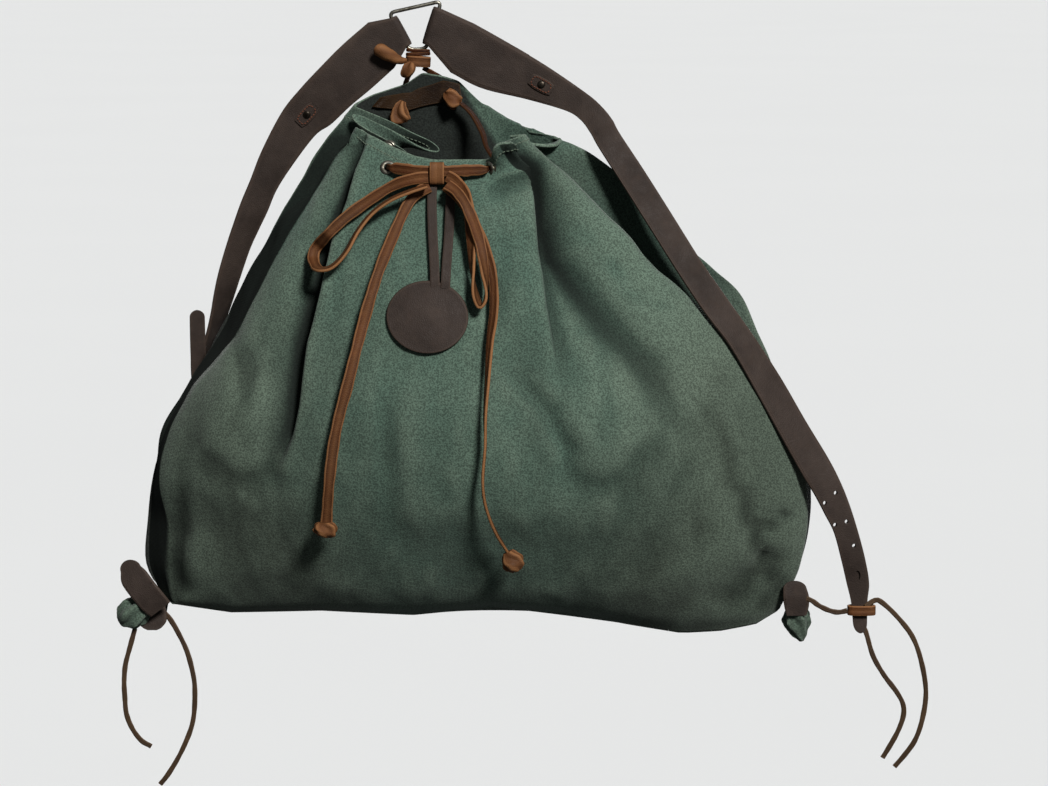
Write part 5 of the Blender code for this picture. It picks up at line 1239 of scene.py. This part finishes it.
def leg_fold(top, low, first, side):
    """Edges of the strap end that folds round a leg of the ring, back layer first."""
    top, low = np.array([top[0], 0, top[1]]), np.array([low[0], 0, low[1]])
    down = unit(low - top)
    out = np.array([down[2], 0, -down[0]]) * side
    turn = np.radians(np.arange(0, 181, 12))[:, None]
    bend = (WIRE / 2 + GAP + STRAP_LEATHER / 2) * (np.cos(turn) * (0, 1, 0) - np.sin(turn) * out)
    return [top + down * at + bend for at in first]


def build_straps():
    found = {}
    for name, stations, top, low, first, side, behind, end in (
        ("left", LEFT_STRAP, RING_CORNERS[0], RING_CORNERS[3], (4.6, 31.8), 1, True, 10),
        ("right", RIGHT_STRAP, RING_CORNERS[1], RING_CORNERS[2], (5.8, 38.5), -1, False, 9),
    ):
        edges = []
        for edge, fold in zip(station_edges(stations, 8), leg_fold(top, low, first, side)):
            back = edge[:14][::-1].copy()
            back[:, 1] = STRAP_LEATHER / 2 + 0.4
            edges.append(np.vstack([back, fold, settled(edge, behind)]))
        outer, inner = rounded_end(*edges, end)
        found[name] = band_strip("strap_leather_" + name, outer, inner, STRAP_LEATHER,
                                 ("strap_" + name,), not behind, 0.25)
    return found


def strap_seat(strap, x, z):
    """The station of a strap nearest to a place: middle, its facing, across it and along it."""
    middle, facing, across = strap
    near = np.hypot(middle[:, 0] - x, middle[:, 2] - z)
    near[:FOLDED_STATIONS] = np.inf
    at = int(np.argmin(near))
    return middle[at], facing[at], across[at], unit(np.cross(facing[at], across[at]))


def strap_holes(strap):
    """Cuts the round holes through the right strap, and its slot half way."""
    points, faces, angle = [], [], circle(24)[:, None]
    cuts = [(*hole, STRAP_HOLE / 2, STRAP_HOLE / 2, -8) for hole in STRAP_HOLES]
    for x, z, wide, tall, start in cuts + [(*STRAP_SLOT_AT, *STRAP_SLOT, 0.1)]:
        middle, facing, across, along = strap_seat(strap, x, z)
        centre = middle + across * np.dot(np.array([x, middle[1], z]) - middle, across)
        axis = facing * (-1 if facing[1] > 0 else 1)
        faces += [[len(points) * 24 + v for v in face] for face in tube_faces(2, 24)]
        points += [centre + axis * reach + np.cross(axis, along) * wide * np.cos(angle)
                   + along * tall * np.sin(angle) for reach in (start, 8)]
    obj = bpy.data.objects["strap_leather_right"]
    tool = linked("shafts", shape("shafts", points, faces))
    outward_faces(tool.data)
    outward_faces(obj.data)
    cut = obj.modifiers.new("holes", "BOOLEAN")
    cut.operation, cut.solver, cut.object = "DIFFERENCE", "MANIFOLD", tool
    bpy.context.view_layer.update()
    ready = obj.evaluated_get(bpy.context.evaluated_depsgraph_get())
    ready = bpy.data.meshes.new_from_object(ready)
    obj.modifiers.clear()
    obj.data = ready
    ready.set_sharp_from_angle(angle=math.radians(50))
    bpy.data.objects.remove(tool)


def rounded_box(angle, half_wide, half_tall):
    return [half * math.copysign(abs(part) ** 0.5, part)
            for half, part in ((half_wide, math.cos(angle)), (half_tall, math.sin(angle)))]


def strap_trim(straps):
    """The patch with its seam and stud on each strap, and the tongue beside the left one."""
    lift, top = STRAP_LEATHER / 2 + 0.2, RIVET_SIZE / 2
    stud = [(0.4, 0), (top, 0), (top, 0.5), (top * 0.9, 0.9), (top * 0.5, 1.2), (0.4, 1.3)]
    for name, spot in (("left", PATCH_LEFT_AT), ("right", PATCH_RIGHT_AT)):
        middle, facing, across, way = strap_seat(straps[name], *spot)
        centre = middle + facing * (lift + PATCH_THICK / 2)
        line = centre + way * np.linspace(-0.5, 0.5, 9)[:, None] * PATCH_SIZE[0]
        half = np.array((0.72, 0.88, 0.97, 1, 1, 1, 0.97, 0.88, 0.72))[:, None] * PATCH_SIZE[1] / 2
        band_strip("patch_leather_" + name, line - across * half, line + across * half, PATCH_THICK,
                   ("strap_patch_" + name,), False, 0.2)
        seam = [centre + way * a + across * b + facing * (PATCH_THICK / 2 + 0.25) for a, b in (
            rounded_box(turn, 0.40 * PATCH_SIZE[0], 0.36 * PATCH_SIZE[1])
            for turn in np.linspace(0, math.tau, 40))]
        stitches("patch_seam_" + name, np.array(seam), np.repeat(facing[None], 40, 0),
                 2.6, 1.9, 0.4, "red_thread", "strap_leather")
        turned("rivet_" + name, stud, middle + facing * (lift + PATCH_THICK), facing, 28,
               ("strap_rivet_" + name,), "stud_metal")
    outer, inner = station_edges(TONGUE_LEFT)
    band_strip("tongue_leather", *rounded_end(outer[::-1], inner[::-1], 6), THIN_LEATHER,
               ("strap_tongue_left",))


# The ring and the lace that hangs the sack from it

def build_ring():
    corners = [np.array([x, 0, z]) for x, z in RING_CORNERS]
    line, t = [], np.linspace(0, 1, 9)[:, None]
    for k, corner in enumerate(corners):
        start, end = (corner + unit(other - corner) * RING_CORNER_RADIUS
                      for other in (corners[k - 1], corners[(k + 1) % len(corners)]))
        line.append((1 - t) ** 2 * start + 2 * t * (1 - t) * corner + t * t * end)
    line, back, angle = np.vstack(line), np.array([0, 1.0, 0]), circle(16)[:, None]
    side = np.cross(looped_way(line), back)[:, None]
    points = line[:, None] + WIRE / 2 * (side * np.cos(angle) + back * np.sin(angle))
    piece("ring_wire", points, tube_faces(len(line), 16, looped=True), "ring_metal", ("hang_ring",))


def lump(spot, *rows):
    """Rows of a knot's middle line and radius, from rows beside one spot of it."""
    return [(spot[0] + x, spot[1], spot[2] + z, radius) for x, z, radius in rows]


def build_hanging():
    oval("hang_band_1", (2.8, 0, -34.4), (13.6, 20.2), 3.0, 2.2, "Z", ("hang_loop",), 3)
    oval("hang_band_2", (2.8, 0, -37.3), (14.0, 20.8), 3.0, 2.2, "Z", (), -2)
    oval("hang_wrap_band", (2.8, 0, -43.4), (15.2, 21.2), 9.0, 2.4, "Z", ("hang_wrap",), 4)
    rolled("hang_roll", HANG_KNOB, 1.7, ("hang_knob",))
    gathered("hang_fold", HANG_FOLD, (), 40, 4, 0.2)
    gathered("hang_turns_left", lump(HANG_KNOT_LEFT, (1, -9.5, 5.5), (0.5, -7, 8.2), (0, -2, 7.6),
                                     (1, 4, 5.2), (3, 9, 2.4)), ("hang_knot_left",))
    knot = lump(HANG_KNOT_RIGHT, (5, -6, 4.2), (3, -4, 6.6), (0, 0, 6.8), (-3, 4, 5.6),
                (-5, 6.5, 3.2))
    gathered("hang_turns_right", knot, ("hang_knot_right",), 48, 4, 0.2)
    for side, rows in (("left", HANG_STRAND_LEFT), ("right", HANG_STRAND_RIGHT)):
        lace("hang_lace_" + side, ("hang_strand_" + side,), rows, HANG_CORD, 1.5,
             shade=0.45)


# The drawstring and its bow

def through(name, way=1):
    """Three places of a lace in an eyelet, from its outside, or from its inside for way -1."""
    centre, facing = (np.array(part) for part in SEATS[name])
    return [centre + facing * reach * way for reach in (2.6, 0, -2.6)]


def build_drawstring():
    left, right = (draped(rows, None)[:, :3] for rows in (SPAN_LEFT, SPAN_RIGHT))
    run_left = np.vstack([through("front_left"), DRAW_RUN_LEFT[:2], through("tuck_front", -1),
                          through("tuck_back"), DRAW_RUN_LEFT[-3:]])
    run_right = np.vstack([through("front_right"), DRAW_RUN_RIGHT])
    for side, span, run in (("left", left[::-1], run_left), ("right", right, run_right)):
        wide = np.repeat((LACE_WIDTH, DRAW_RUN_WIDTH), (len(span), len(run)))
        wide[len(span) - 2:len(span)] = 8.5, 6.0
        wide[-4:] = 6.5, 7.5, 7.0, 6.0
        shade = np.repeat((0, 0.88), (len(span), len(run)))
        lace("draw_lace_" + side, ("draw_span_" + side, "draw_run_" + side), np.vstack([span, run]),
             wide, 1.5, shade=shade)
    x, y, z = (left[-1] + right[0]) / 2
    oval("bow_wrap_band", (x, y, left[-1, 2] - 1.6), (10.0, 18.6), 12.0, 2.2, "X", ("bow_wrap",))
    for side, rows in (("left", BOW_LOOP_LEFT), ("right", BOW_LOOP_RIGHT)):
        way = draped(rows, 6)
        lace("bow_lace_" + side, ("bow_loop_" + side,), way, LACE_WIDTH, 2.0,
             tilt=way[:, 3])
    for side, rows, width, knot in (
        ("left", BOW_TAIL_LEFT, LACE_WIDTH,
         ((-1, -0.5, 5.5), (-1, -2.5, 8.4), (-1, -6.5, 9.6), (-1.5, -10, 8.8), (-2, -12.5, 5.0))),
        ("right", BOW_TAIL_RIGHT, 8.0,
         ((1, -1, 4.4), (3, -5, 7.4), (5, -9, 9.0), (7, -13.5, 8.0), (8.5, -17, 4.0))),
    ):
        way = draped(rows, 8)
        way[:, 1] -= np.interp(way[:, 2], (-440, -380, -280, -180), (4, 8, 6, 0))
        turns = gathered("tail_turns_" + side, lump(way[-1], *knot), ("tail_knot_" + side,),
                         48, 5, 0.14)
        lace("tail_lace_" + side, ("bow_tail_" + side,), way, width, 2.5, tilt=way[:, 3])


# The tag

def bent(u, w):
    """The terms of a surface of the second degree."""
    return np.stack([np.ones_like(u), u, w, u * u, u * w, w * w], -1)


def build_tag():
    rows = draped(TAG_STRAP, 3, TAG_STRAP_WIDTH, 1)
    along = unit(np.gradient(rows[:, [0, 2]], axis=0))
    half = np.column_stack([along[:, 1], np.zeros(len(rows)), -along[:, 0]]) * TAG_STRAP_WIDTH / 2
    band_strip("tag_strip", rows[:, :3] + half, rows[:, :3] - half, THIN_LEATHER,
               ("tag_strap",), True)
    x, z = TAG_AT

    def disc(shares, angle):
        return [np.multiply.outer(shares, reach / 2 * turn)
                for reach, turn in zip(TAG_SIZE, (np.cos(angle), np.sin(angle)))]

    u, w = (each.ravel() for each in disc((0, 0.35, 0.7, 1), circle(24)))
    under = np.array([sack_y(x + a, z + b) for a, b in zip(u, w)])
    bend = np.linalg.lstsq(bent(u, w), under, rcond=None)[0]
    bend[0] += float((under - bent(u, w) @ bend).min()) - TAG_OFF
    share, lift = np.array([
        (0, 0.9), (0.55, 0.95), (0.8, 0.9), (0.9, 0.8), (0.93, 1), (0.965, 1.1), (0.99, 0.75),
        (1, 0), (0.99, -0.75), (0.96, -1.1), (0.6, -1), (0, -1)]).T[..., None]
    angle = circle(96)
    u, w = disc(share[:, 0], angle)
    y = bent(u, w) @ bend - lift * THIN_LEATHER / 2 + 0.5 * np.cos(2 * angle + 0.6) * share ** 2
    piece("tag_leather", np.stack([x + u, y, z + w], -1), tube_faces(len(share), 96, capped=False),
          "strap_leather", ("tag_disc",),
          edge=np.broadcast_to((share > 0.93) & (abs(lift) < 1.2), u.shape))


# The lower corners

def build_corners():
    for side, bunch in (("left", EAR_LEFT), ("right", EAR_RIGHT)):
        gathered("ear_cloth_" + side, bunch, ("corner_ear_" + side,), 40, 7, 0.16, "canvas")
    for side, stations, reach in (("left", TAB_LEFT, 8), ("right", TAB_RIGHT, 7)):
        outer, inner = station_edges(stations)
        band_strip("tab_leather_" + side, *rounded_end(outer[::-1], inner[::-1], reach),
                   THIN_LEATHER, ("corner_tab_" + side,))
    band_strip("tab_end_left", *station_edges(TAB_END_LEFT), THIN_LEATHER)
    for name, node, rows, far_end in (
        ("left_1", "lace_left_1", CORNER_LACE_LEFT_1, "bare"),
        ("left_2", "lace_left_2", CORNER_LACE_LEFT_2, "bare"),
        ("link", "link", CORNER_LINK, "object"),
        ("right_1", "lace_right_1", CORNER_LACE_RIGHT_1, "bare"),
        ("right_2", "lace_right_2", CORNER_LACE_RIGHT_2, "bare"),
    ):
        lace("corner_tie_" + name, ("corner_" + node,), rows, TIE_WIDTH, 2.5,
             thick=TIE_THICK, look="tie_leather")
    oval("strap_tie_band", (375, -46.8, -501), (11.5, 24.0), 8.5, 2.2, "Z", ("strap_knot",))


# Camera and light

def stage():
    """The photograph's viewing angle, a soft key and back light, and a plain pale floor."""
    scene = bpy.context.scene
    scene.view_settings.view_transform = "Standard"
    rise = math.radians(8)
    camera = bpy.data.cameras.new("camera")
    camera.sensor_width = 36
    camera.lens = camera.sensor_width * EYE_DISTANCE / PIXEL / PHOTO_WIDTH
    eye = linked("camera", camera)
    eye.location = Vector(TARGET) + Vector((0, -math.cos(rise), math.sin(rise))) * EYE_DISTANCE
    eye.rotation_euler = (math.pi / 2 - rise, 0, 0)
    scene.camera = eye
    for name, towards, strength, spread, tint in (
        ("key", (0.33, -0.735, 0.59), 4.1, 12, (1.0, 0.99, 0.975)),
        ("back", (0.30, 0.92, 0.25), 1.3, 40, (0.97, 0.99, 1.0)),
    ):
        lamp = bpy.data.lights.new(name, "SUN")
        lamp.energy, lamp.angle, lamp.color = strength, math.radians(spread), tint
        linked(name, lamp).rotation_euler = Vector(towards).to_track_quat("Z", "Y").to_euler()
    scene.world = bpy.data.worlds.new("room")
    scene.world.use_nodes = True
    light = scene.world.node_tree.nodes["Background"].inputs
    light["Color"].default_value, light["Strength"].default_value = (0.95, 0.98, 1.0, 1.0), 0.1
    mesh = bpy.data.meshes.new("floor")
    mesh.from_pydata([(x * 60.0, y * 60.0, -1.6) for x, y in ((-1, -1), (1, -1), (1, 1), (-1, 1))],
                     [], [(0, 1, 2, 3)])
    made = Finish("floor_look", Roughness=1.0, Specular_IOR_Level=0.0)
    made.use(made.mix(made.noise(made.place, 0.6, 2.0, 0.5), (0.805, 0.815, 0.82),
                      (0.823, 0.833, 0.838)), "Base Color")
    mesh.materials.append(made.material)
    floor = linked("floor", mesh)
    floor.visible_diffuse = floor.visible_glossy = False


stage()
build_drawstring()
build_hanging()
build_corners()
build_sack()
build_back_patch()
build_eyelets()
STRAPS = build_straps()
strap_trim(STRAPS)
strap_holes(STRAPS["right"])
build_ring()
build_tag()
